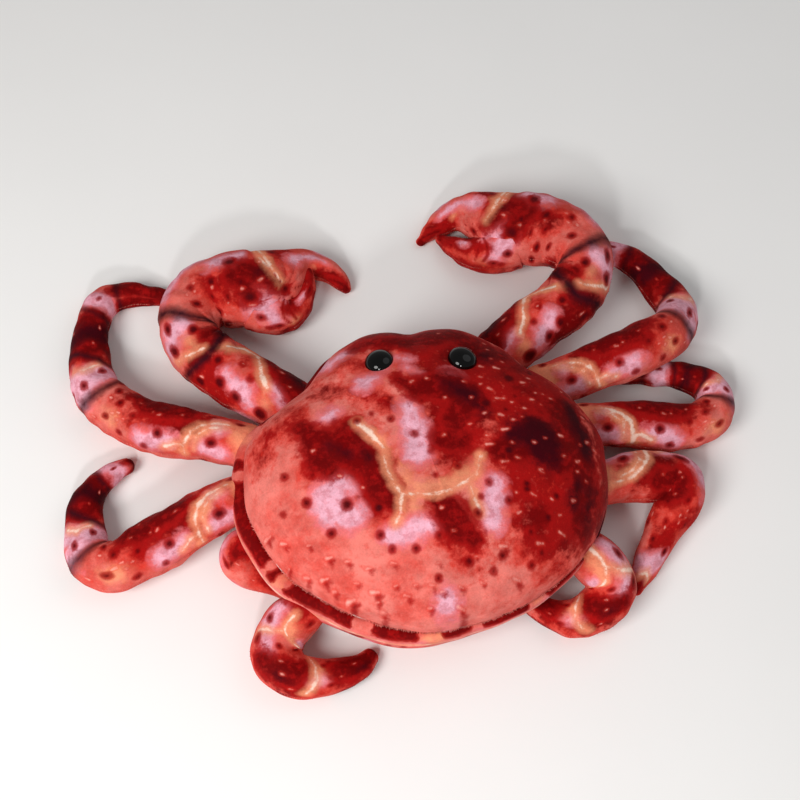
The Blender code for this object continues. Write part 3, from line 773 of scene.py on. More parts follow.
def stuff(mesh, held, pressure, cap, slack):
    """Fills a closed skin under pressure as cloth, and moves its points by up to the cap."""
    start = mesh_points(mesh)
    piece = show("stuffing", mesh.copy())
    pins = piece.vertex_groups.new(name="held")
    for index, weight in enumerate(held):
        if weight > 0:
            pins.add([index], float(weight), "REPLACE")
    cloth = piece.modifiers.new("stuffing", "CLOTH")
    settings = cloth.settings
    settings.quality = 5
    settings.mass = 0.2
    settings.tension_stiffness = 12
    settings.compression_stiffness = 12
    settings.shear_stiffness = 4
    settings.bending_stiffness = 0.15
    settings.use_pressure = True
    settings.uniform_pressure_force = pressure
    settings.vertex_group_mass = "held"
    settings.shrink_min = slack
    settings.effector_weights.gravity = 0
    cloth.collision_settings.use_collision = False
    scene = bpy.context.scene
    for step in range(1, STUFFING_STEPS + 1):
        scene.frame_set(step)
    result = plain_mesh(piece)
    move = mesh_points(result) - start
    normals = mesh_normals(mesh)
    sunk = np.minimum(np.einsum("ij,ij->i", move, normals), 0)
    move -= normals * (HELD_BACK * sunk)[:, None]
    scene.frame_set(1)
    length = np.linalg.norm(move, axis=1)
    move *= (np.minimum(length, cap) / np.maximum(length, 1e-9))[:, None]
    set_points(mesh, start + move)
    bpy.data.objects.remove(piece, do_unlink=True)


def cushion_grid():
    """Rings of the whole body from the belly's middle, round the rim, up to the crown."""
    angle = -np.arange(ROUND_STEPS) * 360.0 / ROUND_STEPS
    rim = rim_radius(angle)
    rise = seam_inset(angle)
    bulge = rim_bulge(angle)
    floor = np.zeros(ROUND_STEPS)
    rings = []
    for share in np.linspace(0.05, BELLY_FLAT_SHARE, FLAT_ROWS):
        rings.append((rim * share, floor))
    for k in range(1, BELLY_ROWS + 1):
        turn = 0.5 * math.pi * (1 - k / BELLY_ROWS)
        share = BELLY_FLAT_SHARE + (1 - BELLY_FLAT_SHARE) * math.cos(turn)
        high = 1 - math.sin(turn)
        rings.append((rim * share + bulge * high, floor + RIM_HEIGHT * high))
    rim = rim + bulge
    inset = rise + np.clip(bulge, 0, 1) * 0.5
    for k in range(1, ROLL_ROWS + 1):
        turn = 0.5 * math.pi * k / ROLL_ROWS
        rings.append((rim - inset * (1 - math.cos(turn)), RIM_HEIGHT + rise * math.sin(turn)))
    foot = RIM_HEIGHT + rise
    for k in range(1, DOME_ROWS):
        share = math.cos(0.5 * math.pi * k / DOME_ROWS) ** (2 / DOME_FULLNESS)
        climb = (1 - share ** DOME_FULLNESS) ** (1 / DOME_FULLNESS)
        rings.append(((rim - inset) * share, foot + (BODY_TOP - foot) * climb))
    grid = np.empty((len(rings), ROUND_STEPS, 3))
    for row, (radius, height) in enumerate(rings):
        grid[row, :, 0] = radius * np.sin(np.radians(angle))
        grid[row, :, 1] = radius * np.cos(np.radians(angle))
        grid[row, :, 2] = height
    return grid


def eye_places():
    """Where the two eyes sit, in plan."""
    return [np.array((side * EYE_SPACING / 2, EYE_FORWARD)) for side in (-1, 1)]


def stuffed_body():
    """Points of the stuffed body, with its lumps and the dents round its eyes."""
    grid = cushion_grid()
    rows = len(grid)
    mesh = skin("body", grid, (0, 0, 0), (0, 0, BODY_TOP))
    face_outwards(mesh)
    row_of = np.repeat(np.arange(rows), ROUND_STEPS)
    held = np.zeros(rows * ROUND_STEPS + 2)
    held[:-2] = np.where(row_of <= FLAT_ROWS, 1.0, np.where(row_of == SEAM_ROW, 0.9, 0.02))
    held[-2] = 1.0
    stuff(mesh, held, pressure=3.0, cap=0.006, slack=-0.02)

    points = mesh_points(mesh)
    normals = mesh_normals(mesh)
    loose = np.append(np.clip((row_of - FLAT_ROWS) / 6.0, 0, 1), (0, 1))
    lumps = stuffing_lumps(points, BODY_LUMPS, 5)
    points = points + normals * (lumps * loose)[:, None]
    for place in eye_places():
        gap = np.linalg.norm(points[:, :2] - place, axis=1)
        above = points[:, 2] > RIM_HEIGHT + 0.02
        points[:, 2] -= np.where(above, 0.0022 * np.exp(-((gap / 0.014) ** 2)), 0)
        points[:, 2] += np.where(above, 0.0018 * np.exp(-(((gap - 0.026) / 0.012) ** 2)), 0)
    points[:, 2] = np.maximum(points[:, 2], 0)
    return points


def gather_seam(laid):
    """Puckers the cloth on either side of the body's seam, and sinks the seam a little."""
    turn = np.arange(ROUND_STEPS) * 2 * math.pi / ROUND_STEPS
    gather = 0.5 * np.sin(31 * turn + 2 * np.sin(3 * turn)) + 0.5 * np.sin(17 * turn + 1.3)
    for step, share in ((1, 1.0), (2, 0.7), (3, 0.4), (4, 0.2)):
        for row in (SEAM_ROW - step, SEAM_ROW + step):
            laid[row, :, 2] += 0.0006 * share * gather
    laid[SEAM_ROW, :, 2] -= 0.0012


def tucked(seam, inward, down):
    """The seam's ring, moved inside the body."""
    ring = seam.copy()
    reach = np.linalg.norm(ring[:, :2], axis=1)
    ring[:, :2] *= ((reach - inward) / reach)[:, None]
    ring[:, 2] -= down
    return ring


def body_pieces():
    """The stuffed body, parted at its seam into the carapace and the belly."""
    points = stuffed_body()
    laid = points[:-2].reshape(-1, ROUND_STEPS, 3)
    gather_seam(laid)
    seam = laid[SEAM_ROW]
    dome_tucks = [tucked(seam, *tuck) for tuck in ((0.009, 0.0035), (0.005, 0.003), (0.0015, 0.0012))]
    belly_tucks = [tucked(seam, *tuck) for tuck in ((0.0015, 0.0018), (0.005, 0.0045), (0.009, 0.006))]
    dome_grid = np.concatenate((dome_tucks, laid[SEAM_ROW:] + (0, 0, 0.0002)))
    dome_grid[len(dome_tucks), :, 2] += 0.0002
    belly_grid = np.concatenate((laid[:SEAM_ROW + 1] - (0, 0, 0.0002), belly_tucks))
    belly_grid[:, :, 2] = np.maximum(belly_grid[:, :, 2], 0)
    carapace = skin("carapace", dome_grid, None, points[-1])
    belly = skin("belly", belly_grid, points[-2], None)
    for half in (carapace, belly):
        face_outwards(half)
    radial = seam * (1, 1, 0)
    radial /= np.linalg.norm(radial, axis=1)[:, None]
    seam_runs = (
        (seam + (0, 0, 0.0010) - radial * 0.0003, radial + (0, 0, -0.25), True),
        (seam + (0, 0, -0.0012) - radial * 0.0002, radial + (0, 0, 0.45), True),
    )
    return smoothed(carapace, 2), smoothed(belly, 2), seam_runs


def loose_filling():
    """The fibre inside, a little within the cloth all round."""
    share = 0.945
    grid = cushion_grid() * share + (0, 0, 0.003)
    mesh = skin("filling", grid, (0, 0, 0.003), (0, 0, 0.003 + BODY_TOP * share))
    face_outwards(mesh)
    points = mesh_points(mesh)
    clumps = 0.0008 * soft_waves(points, 0.02, 9)
    set_points(mesh, points + mesh_normals(mesh) * clumps[:, None])
    return mesh


def fin_marks(places):
    """A pale fleck and a feathered dark hook at each place of the tail half's pattern."""
    chance = np.random.default_rng(41)
    pit = np.zeros(len(places))
    dot = np.zeros(len(places))
    for x, y in BODY_FINS:
        heading = chance.uniform(-0.45, 0.15)
        size = 0.7 + 0.9 * chance.uniform() ** 2
        along = np.array((math.cos(heading), math.sin(heading)))
        down = np.array((0.45, -0.9)) * size
        a, b = np.array((x, y)) - along * 2.0 * size, np.array((x, y)) + along * 1.6 * size
        fleck = ((a[0], a[1], 0.9 * size), (b[0], b[1], 0.6 * size))
        c, d = np.array((x, y)) + down * 2.2, np.array((x, y)) + down * 5.0
        e = c + along * 2.6 * size
        foot = (c[0], c[1], 1.5 * size)
        hooks = ((foot, (d[0], d[1], 0.5)), (foot, (e[0], e[1], 0.6)))
        dot = np.maximum(dot, as_field(stroke_depth(places, (fleck,)), 2.0) * 0.95)
        pit = np.maximum(pit, as_field(stroke_depth(places, hooks), 2.8) * 0.75)
    return pit, dot


def print_carapace(mesh):
    """Lays the body's print on the dome, as it is seen from above."""
    places = mesh_points(mesh)[:, :2] / MM
    pit, dot = fin_marks(places)
    print_on(mesh, places, BODY_PRINT, BODY_PITS, BODY_DOTS, {"pit": pit, "dot": dot})


def print_belly(mesh):
    """Coral cloth under the rim, and a rolled rim dashed in dark red, with shade painted along its right
    side.
    """
    points = mesh_points(mesh)
    angle = np.degrees(np.arctan2(points[:, 0], points[:, 1]))
    round_about = np.radians(angle) * PRINTED_RIM_RADIUS
    places = np.column_stack((round_about, points[:, 2] / MM))
    dash = np.full(len(points), FAR_OUTSIDE)
    for start, end in RIM_DASHES:
        middle, half = (start + end) / 2, (end - start) / 2
        off = np.abs((angle - middle + 180) % 360 - 180)
        dash = np.maximum(dash, (half - off) * 2.2)
    height = points[:, 2] / MM
    drift = 1.2 * np.sin(np.radians(angle) * 2) + 0.6 * np.sin(np.radians(angle) * 7)
    dark = as_field(np.minimum(dash - 0.6 * np.abs(height - 53.0), height - 50.4 - drift), 2.4)
    cream = as_field(0.9 - np.abs(height - 44.0 - drift), 5)
    chance = np.random.default_rng(12)
    pits = [(chance.uniform(-400, 400), chance.uniform(8, 40), chance.uniform(1.4, 2.6))
            for _ in range(110)]
    design = {
        "heat": (
            ((-400, 28, 2), (400, 28, 2)), ((40, 50, 12), (250, 50, 12)),
            ((-60, 50, 10), (40, 50, 10)),
        ),
        "dark": (),
        # Painted shade: the night stroke darkens the rolled rim on the right, the side turned from the
        # light
        "night": (((100, 50, 8), (260, 50, 8)),),
        "lilac": (((-400, 44, 1.6), (400, 44, 1.6)),) + tuple(
            ((chance.uniform(-400, 400), chance.uniform(14, 36), 5),) for _ in range(22)),
        "tan": (((-163, 52, 5),), ((-273, 52, 6),), ((404, 52, 6),), ((-404, 52, 6),), ((318, 52, 5),)),
        "cream": (),
        "band": (),
    }
    print_on(mesh, places, design, pits, (), {"dark": dark, "cream": cream})


def limb_path(stations, step):
    """Centres, half widths and half heights along a limb, and millimetres gone."""
    splits = 16
    index = np.repeat(np.arange(len(stations) - 1), splits)
    share = np.tile(np.arange(splits) / splits, len(stations) - 1)
    fine = np.vstack((spline(stations, index, share), stations[-1]))
    lengths = np.linalg.norm(np.diff(fine[:, :3], axis=0), axis=1)
    travel = np.concatenate(([0], np.cumsum(lengths)))
    count = max(4, round(travel[-1] / step))
    goal = np.linspace(0, travel[-1], count + 1)
    path = np.column_stack([np.interp(goal, travel, fine[:, c]) for c in range(5)])
    path[:, 2] = np.maximum(path[:, 2], path[:, 4])
    return path, goal / MM


def root_place(root_angle):
    """Where a limb is sewn to the rim, in plan."""
    reach = float(rim_radius(root_angle))
    turn = math.radians(root_angle)
    return np.array((reach * math.sin(turn), reach * math.cos(turn)))


def leg_stations(root_angle, half_thickness, route):
    """Centre, half width and half height at each station of a leg."""
    route = np.array(route, float)
    root = root_place(root_angle)
    rise = RIM_HEIGHT - ROOT_DROP - half_thickness
    steps = np.linalg.norm(np.diff(route[:, :2], axis=0), axis=1)
    travel = np.concatenate(([0], np.cumsum(steps)))
    taper = np.array(LEG_TAPER)
    half = half_thickness * np.interp(travel / travel[-1], taper[:, 0], taper[:, 1])
    place = root + route[:, :2] * MM
    return np.column_stack((place, route[:, 2] * rise + half, half, half))


def claw_stations(root_angle, route):
    """The same for a claw, whose route gives its half width and half height."""
    route = np.array(route, float)
    root = root_place(root_angle)
    rise = RIM_HEIGHT - ROOT_DROP - ARM_HALF_THICKNESS
    wide, high = route[:, 3] * MM, route[:, 4] * MM
    return np.column_stack((root + route[:, :2] * MM, route[:, 2] * rise + high, wide, high))


def limb_grid(path, gone, sides):
    """Rings of points round a limb, with its millimetres gone and turn from the top."""
    centre = path[:, :3]
    ahead = np.gradient(centre, axis=0)
    ahead /= np.linalg.norm(ahead, axis=1)[:, None]
    across = np.cross((0, 0, 1.0), ahead)
    across /= np.linalg.norm(across, axis=1)[:, None]
    up = np.cross(ahead, across)
    wide, high = path[:, 3].copy(), path[:, 4].copy()
    tips = []
    for k in range(1, TIP_RINGS + 1):
        turn = 0.5 * math.pi * k / (TIP_RINGS + 0.6)
        reach = wide[-1] * TIP_REACH * math.sin(turn)
        shrink = math.cos(turn)
        tips.append((centre[-1] + ahead[-1] * reach, wide[-1] * shrink, high[-1] * shrink, reach))
    centre = np.vstack([centre] + [[t[0]] for t in tips])
    wide = np.append(wide, [t[1] for t in tips])
    high = np.append(high, [t[2] for t in tips])
    gone = np.append(gone, [gone[-1] + t[3] / MM for t in tips])
    across = np.vstack([across] + [across[-1:]] * TIP_RINGS)
    up = np.vstack([up] + [up[-1:]] * TIP_RINGS)
    turn = np.linspace(0, 2 * math.pi, sides, endpoint=False)
    grid = (
        centre[:, None]
        + across[:, None] * (wide[:, None] * np.sin(turn))[..., None]
        + up[:, None] * (high[:, None] * np.cos(turn))[..., None]
    )
    end = centre[-1] + (centre[-1] - centre[-2]) * 0.35
    return grid, gone, turn, end


def plan_bend(path):
    """Bend of the limb's line in plan at each step, positive towards its left side."""
    ahead = np.gradient(path[:, :2], axis=0)
    heading = np.unwrap(np.arctan2(ahead[:, 1], ahead[:, 0]))
    travel = np.concatenate(([0], np.cumsum(np.linalg.norm(np.diff(path[:, :3], axis=0), axis=1))))
    return np.gradient(heading, travel)


def wrinkle(grid, path, turn, seed):
    """Folds across the inside of each bend, where the cloth is too long for its place."""
    bend = plan_bend(path)
    count = len(bend)
    ring = grid[:count]
    centre = path[:, None, :3]
    outward = ring - centre
    outward /= np.linalg.norm(outward, axis=2)[..., None]
    tight = np.clip(np.abs(bend) * path[:, 3] - 0.30, 0, 0.9)
    side = np.sign(bend)
    inner = np.clip(side[:, None] * np.sin(turn)[None, :] + 0.25, 0, 1.25) / 1.25
    travel = np.linspace(0, 1, count)[:, None] * len(path)
    chance = np.random.default_rng(seed)
    phase = chance.uniform(0, 6.28, 3)
    lean = 1.2 * np.sin(turn)[None, :] * side[:, None]
    fold = np.sin(travel * 1.55 + phase[0] + lean) + 0.6 * np.sin(travel * 2.6 + phase[1] - lean)
    depth = 0.0016 * tight[:, None] * inner ** 2 * (fold - 0.5)
    grid[:count] = ring + outward * depth[..., None]
    return grid


def keep_clear_of_body(points, gap=-0.003):
    """Gathers the root of a limb just under the body's cloth, where it is sewn on."""
    angle = np.degrees(np.arctan2(points[:, 0], points[:, 1]))
    reach = np.linalg.norm(points[:, :2], axis=1)
    wall = body_reach(angle, np.clip(points[:, 2], 0, BODY_TOP)) + gap
    inside = reach < wall
    points[inside, :2] *= (wall[inside] / reach[inside])[:, None]
    return points


def limb_mesh(name, stations, step, sides, seed):
    """One tube, with its own flat coordinates stored for the print."""
    path, gone = limb_path(stations, step)
    grid, gone, turn, end = limb_grid(path, gone, sides)
    grid = wrinkle(grid, path, turn, seed)
    mesh = skin(name, grid, path[0, :3], end)
    face_outwards(mesh)
    rows = len(gone)
    towards_head = -1 if "left" in name else 1
    along = np.append(np.repeat(gone, sides), (gone[0], gone[-1]))
    sine = np.append(np.tile(np.sin(turn) * towards_head, rows), (0, 0))
    cosine = np.append(np.tile(np.cos(turn), rows), (1, 1))
    store(mesh, "lie", (along, sine, cosine))
    return mesh


def finish_limb(mesh, sides, seed, pinches):
    """Stuffs the tube, lumps it a little and rounds it."""
    held = np.zeros(len(mesh.vertices))
    held[:2 * sides] = 1.0
    held[-2] = 1.0
    stuff(mesh, held, pressure=2.0, cap=0.002, slack=-0.015)
    finer = smoothed(mesh, 2)
    points = mesh_points(finer)
    normals = mesh_normals(finer)
    lumps = stuffing_lumps(points, LIMB_LUMPS, seed)
    lie = read_lie(finer)
    seam = np.exp(-(((np.abs(lie[:, 1]) - SEAM_DEGREES) * DEGREE_ON_LEG / 1.2) ** 2))
    lumps -= 0.0007 * seam
    for pinch in pinches:
        lumps += gathered(lie, *pinch)[0]
    points += normals * lumps[:, None]
    points[:, 2] = np.maximum(points[:, 2], 0.0002)
    points = keep_clear_of_body(points)
    set_points(finer, points)
    return finer


def read_lie(mesh):
    """Millimetres along a limb and degrees round from its top, at every point."""
    flat = np.empty(len(mesh.vertices) * 3)
    mesh.attributes["lie"].data.foreach_get("vector", flat)
    flat = flat.reshape(-1, 3)
    return np.column_stack((flat[:, 0], np.degrees(np.arctan2(flat[:, 1], flat[:, 2]))))


def gathered(lie, at, degrees, reach, depth, folds):
    """Height of folds that run out from one drawn-in stitch, at a place on a limb, and the shade painted
    into the print along their valleys and at the stitch.
    """
    right = lie[:, 0] - at
    up = (lie[:, 1] - degrees) * DEGREE_ON_CLAW
    gap = np.hypot(right, up)
    heading = np.arctan2(up, right)
    rays = np.abs(np.sin(heading * folds / 2 + 0.6 * np.sin(heading * 2 + 1)))
    valley = (1 - rays) ** 2
    fade = np.exp(-((gap / reach) ** 2)) * np.clip((gap - 3.0) / 6.0, 0, 1)
    dimple = np.exp(-((gap / 6.0) ** 2))
    return MM * depth * ((0.3 - valley) * fade - dimple), np.clip(valley ** 2 * fade + dimple ** 2, 0, 1)


def print_limb(mesh, design, pits, dots, degree, fit=((0, 1), (0, 1)), flip=1, pinches=()):
    """Lays a limb's print on it, along its length and round from the top, with shade painted into the
    folds at its pinches.

    The fit is two rows of millimetres: along the limb, and along the print that lies there.
    """
    lie = read_lie(mesh)
    on_limb, on_print = (np.array(row, float) for row in fit)
    slope = (on_print[-1] - on_print[-2]) / (on_limb[-1] - on_limb[-2])
    along = np.interp(lie[:, 0], on_limb, on_print) + np.maximum(lie[:, 0] - on_limb[-1], 0) * slope
    places = np.column_stack((along, lie[:, 1] * degree * flip))

    def flat(strokes):
        return tuple(tuple((p[0], p[1] * degree, p[2]) for p in run) for run in strokes)

    laid = {key: flat(strokes) for key, strokes in design.items()}
    laid_pits = [(u, t * degree, r) for u, t, r in pits]
    laid_dots = [(u, t * degree) for u, t in dots]
    # Painted shade: the folds at the pinches darken the print through its pit field.
    shade = np.zeros(len(lie))
    for pinch in pinches:
        shade = np.maximum(shade, gathered(lie, *pinch)[1])
    print_on(mesh, places, laid, laid_pits, laid_dots, {"pit": shade * 0.95})
    mesh.attributes.remove(mesh.attributes["lie"])


def limb_seam(mesh, degrees, first):
    """Points and leans of the pile along one seam of a limb, from near its root to its tip."""
    lie = read_lie(mesh)
    off = np.abs((lie[:, 1] - degrees + 180) % 360 - 180)
    chosen = np.flatnonzero((off < 1.5) & (lie[:, 0] > first) & (lie[:, 0] < lie[:, 0].max() - 3))
    chosen = chosen[np.argsort(lie[chosen, 0])]
    normals = mesh_normals(mesh)[chosen]
    return mesh_points(mesh)[chosen] - normals * 0.0002, normals + (0, 0, -0.35), False


def fringe_lines(runs):
    """Lines of edges, with the way that their pile leans stored at each point."""
    edges = []
    start = 0
    for places, _, closed in runs:
        edges += [(start + k, start + k + 1) for k in range(len(places) - 1)]
        if closed:
            edges.append((start + len(places) - 1, start))
        start += len(places)
    mesh = bpy.data.meshes.new("fringe_lines")
    mesh.from_pydata([tuple(p) for run in runs for p in run[0]], edges, [])
    store(mesh, "lean", np.vstack([run[1] for run in runs]).T)
    return mesh


def copy_print(source, target, paleness):
    """Prints a fringe as the cloth that it grows from, and paler, a painted highlight for the pile that
    catches the light along the seams.
    """
    points = mesh_points(source)
    tree = KDTree(len(points))
    for index, point in enumerate(points):
        tree.insert(point, index)
    tree.balance()
    nearest = [tree.find(point)[1] for point in mesh_points(target)]
    for name, _ in PRINT_FIELDS.values():
        flat = np.empty(len(points) * 3)
        source.attributes[name].data.foreach_get("vector", flat)
        columns = flat.reshape(-1, 3)[nearest].T
        # Painted highlight: the tufts' pale fleck field is raised to at least this paleness
        if name == "print_marks":
            columns[2] = np.maximum(columns[2], paleness)
        store(target, name, columns)


def with_fringe(name, mesh, runs, fringe, cloth, values):
    """The piece's mesh with a fringe of pile grown along its seams."""
    lines = show("fringe_lines", fringe_lines(runs))
    growth = lines.modifiers.new("pile_fringe", "NODES")
    growth.node_group = fringe
    values = {"Seed": 7, "Cloth": cloth, **values}
    for item in fringe.interface.items_tree:
        if item.item_type == "SOCKET" and item.in_out == "INPUT" and item.name in values:
            growth[item.identifier] = values[item.name]
    tufts = plain_mesh(lines)
    bpy.data.objects.remove(lines, do_unlink=True)
    for left_over in [a.name for a in tufts.attributes if a.name in ("lean", "lie")]:
        tufts.attributes.remove(tufts.attributes[left_over])
    copy_print(mesh, tufts, FRINGE_PAINTED_HIGHLIGHT)
    return joined(name, (mesh, tufts))


def pile_fringe_tree():
    """Geometry Nodes: short tufts of pile along lines, each leaning as its line says."""
    tree = bpy.data.node_groups.new("pile_fringe", "GeometryNodeTree")
    tree.interface.new_socket("Geometry", in_out="INPUT", socket_type="NodeSocketGeometry")
    for label, kind, value in (
        ("Spacing", "NodeSocketFloat", 0.0011), ("Tuft Length", "NodeSocketFloat", 0.0013),
        ("Tuft Width", "NodeSocketFloat", 0.0009), ("Untidiness", "NodeSocketFloat", 0.35),
        ("Seed", "NodeSocketInt", 7), ("Cloth", "NodeSocketMaterial", None),
    ):
        socket = tree.interface.new_socket(label, in_out="INPUT", socket_type=kind)
        if value is not None:
            socket.default_value = value
    tree.interface.new_socket("Geometry", in_out="OUTPUT", socket_type="NodeSocketGeometry")
    given = tree.nodes.new("NodeGroupInput").outputs
    result = tree.nodes.new("NodeGroupOutput")

    line = linked_node(tree, "GeometryNodeMeshToCurve", {"Mesh": given["Geometry"]})
    spread = linked_node(tree, "GeometryNodeResampleCurve", {
        "Curve": line.outputs["Curve"], "Length": given["Spacing"],
    }, mode="LENGTH")

    lean = linked_node(tree, "GeometryNodeInputNamedAttribute", {"Name": "lean"},
                       data_type="FLOAT_VECTOR")
    stray = linked_node(tree, "FunctionNodeRandomValue", {
        "Min": (-1, -1, -1), "Max": (1, 1, 1), "Seed": given["Seed"],
    }, data_type="FLOAT_VECTOR")
    scaled = linked_node(tree, "ShaderNodeVectorMath", {
        0: stray.outputs["Value"], "Scale": given["Untidiness"],
    }, operation="SCALE")
    heading = linked_node(tree, "ShaderNodeVectorMath", {
        0: lean.outputs["Attribute"], 1: scaled.outputs["Vector"],
    }, operation="ADD")
    turn = linked_node(tree, "FunctionNodeAlignRotationToVector", {
        "Vector": heading.outputs["Vector"],
    }, axis="Z")

    half = linked_node(tree, "ShaderNodeMath", {0: given["Tuft Width"], 1: 0.5}, operation="MULTIPLY")
    tuft = linked_node(tree, "GeometryNodeMeshCone", {
        "Vertices": 5, "Side Segments": 1, "Radius Top": 0,
        "Radius Bottom": half.outputs["Value"], "Depth": given["Tuft Length"],
    }, fill_type="NGON")
    size = linked_node(tree, "FunctionNodeRandomValue", {
        2: 0.6, 3: 1.25, "Seed": given["Seed"],
    }, data_type="FLOAT")

    planted = linked_node(tree, "GeometryNodeInstanceOnPoints", {
        "Points": spread.outputs["Curve"], "Instance": tuft.outputs["Mesh"],
        "Rotation": turn.outputs["Rotation"], "Scale": size.outputs[1],
    })
    real = linked_node(tree, "GeometryNodeRealizeInstances", {"Geometry": planted.outputs["Instances"]})
    dyed = linked_node(tree, "GeometryNodeSetMaterial", {
        "Geometry": real.outputs["Geometry"], "Material": given["Cloth"],
    })
    tree.links.new(dyed.outputs["Geometry"], result.inputs["Geometry"])
    return tree


def make_limb(kind, number, name, stations, pinches=()):
    """One stuffed limb, and the runs of pile along its two seams."""
    step, sides, first, fold_seed, lump_seed = LIMB_MAKES[kind]
    mesh = limb_mesh(name, stations, step, sides, fold_seed + number)
    mesh = finish_limb(mesh, sides, lump_seed + number, pinches)
    return mesh, [limb_seam(mesh, side * SEAM_DEGREES, first) for side in (-1, 1)]


def make_legs(fringe, cloth):
    """The eight legs, printed and fringed."""
    legs = {}
    for number, (name, (root_angle, half, route)) in enumerate(LEGS.items()):
        mesh, seams = make_limb("leg", number, name, leg_stations(root_angle, half, route))
        if name.endswith("_4"):
            print_limb(mesh, REAR_LEG_PRINT, REAR_LEG_PITS, REAR_LEG_DOTS, DEGREE_ON_LEG)
        elif name == "leg_left_3":
            print_limb(mesh, FOLDED_LEG_PRINT, FOLDED_LEG_PITS, FOLDED_LEG_DOTS, DEGREE_ON_LEG)
        elif name == "leg_right_3":
            print_limb(mesh, THIRD_LEG_PRINT, THIRD_LEG_PITS, LEG_DOTS, DEGREE_ON_LEG, LEG_FIT[name], -1)
        else:
            print_limb(mesh, LEG_PRINT, LEG_PITS, LEG_DOTS, DEGREE_ON_LEG, LEG_FIT[name])
        legs[name] = with_fringe(name, mesh, seams, fringe, cloth, LIMB_FRINGE)
    return legs


def make_claws(fringe, cloth):
    """The two claws, each an arm with its big finger and a small finger."""
    claws = {}
    for number, (name, (root_angle, route, finger_route)) in enumerate(CLAWS.items()):
        pinches = CLAW_PINCHES[name]
        arm, seams = make_limb("claw", number, name, claw_stations(root_angle, route), pinches)
        print_limb(arm, CLAW_PRINT, CLAW_PITS, CLAW_DOTS, DEGREE_ON_CLAW, CLAW_FIT[name], 1, pinches)
        stations = claw_stations(root_angle, finger_route)
        finger, finger_seams = make_limb("finger", number, name + "_small_finger", stations)
        print_limb(finger, FINGER_PRINT, FINGER_PITS, FINGER_DOTS, DEGREE_ON_CLAW)
        claw = joined(name, (arm, finger))
        claws[name] = with_fringe(name, claw, seams + finger_seams, fringe, cloth, LIMB_FRINGE)
    return claws


def joined(name, meshes):
    """One mesh from several that share their attributes."""
    pieces = [show(name + "_part", mesh) for mesh in meshes]
    with bpy.context.temp_override(active_object=pieces[0], selected_editable_objects=pieces):
        bpy.ops.object.join()
    mesh = pieces[0].data
    bpy.data.objects.remove(pieces[0], do_unlink=True)
    mesh.name = name
    return mesh


def new_group(name, inputs, outputs):
    """A shader node group with named sockets."""
    group = bpy.data.node_groups.new(name, "ShaderNodeTree")
    for label, kind, value in inputs:
        socket = group.interface.new_socket(label, in_out="INPUT", socket_type=kind)
        if value is not None:
            socket.default_value = value
    for label, kind in outputs:
        group.interface.new_socket(label, in_out="OUTPUT", socket_type=kind)
    return group, group.nodes.new("NodeGroupInput"), group.nodes.new("NodeGroupOutput")


def add_node(tree, kind, **values):
    """A new node, with its settings."""
    node = tree.nodes.new(kind)
    for key, value in values.items():
        setattr(node, key, value)
    return node


def linked_node(tree, kind, inputs, **values):
    """A new node, with each input set to a value or linked to another node's output."""
    node = add_node(tree, kind, **values)
    for key, value in inputs.items():
        if isinstance(value, bpy.types.NodeSocket):
            tree.links.new(value, node.inputs[key])
        else:
            node.inputs[key].default_value = value
    return node


def noise(tree, vector, scale, detail=3.0, roughness=0.55):
    """Soft noise from 0 to 1."""
    inputs = {"Scale": scale, "Detail": detail, "Roughness": roughness, "Vector": vector}
    return linked_node(tree, "ShaderNodeTexNoise", inputs).outputs["Fac"]


def arithmetic(tree, operation, a, b):
    """The result of one operation on two values or outputs."""
    return linked_node(tree, "ShaderNodeMath", {0: a, 1: b}, operation=operation).outputs[0]


def smooth_step(tree, value, low, high, to=1.0):
    """Goes smoothly from nothing at the low value to its whole amount at the high one."""
    inputs = {"Value": value, "From Min": low, "From Max": high, "To Max": to}
    node = linked_node(tree, "ShaderNodeMapRange", inputs, interpolation_type="SMOOTHSTEP")
    return node.outputs["Result"]


def blend(tree, amount, under, over, mode="MIX"):
    """Lays one colour over another by an amount; each is a node's output or a colour."""
    under, over = ((*side, 1.0) if isinstance(side, tuple) else side for side in (under, over))
    inputs = {"Factor": amount, 6: under, 7: over}
    return linked_node(tree, "ShaderNodeMix", inputs, data_type="RGBA", blend_type=mode).outputs[2]


def from_screen(red, green, blue):
    """Linear colour from the 0 to 255 values of a screen."""
    return tuple(
        (v / 255 / 12.92) if v / 255 <= 0.04045 else ((v / 255 + 0.055) / 1.055) ** 2.4
        for v in (red, green, blue)
    )


CORAL = from_screen(206, 74, 64)
SALMON = from_screen(222, 118, 108)
EMBER = from_screen(204, 46, 34)
BLOOD = from_screen(156, 14, 14)
DEEP_RED = from_screen(108, 2, 4)
WINE = from_screen(56, 2, 12)
ROSE = from_screen(224, 112, 118)
LILAC = from_screen(232, 170, 188)
GREY_LILAC = from_screen(212, 136, 150)
TAN = from_screen(234, 146, 110)
IVORY = from_screen(246, 212, 194)
BAND_BLACK = from_screen(50, 8, 20)
PALE_DOT = from_screen(246, 164, 152)


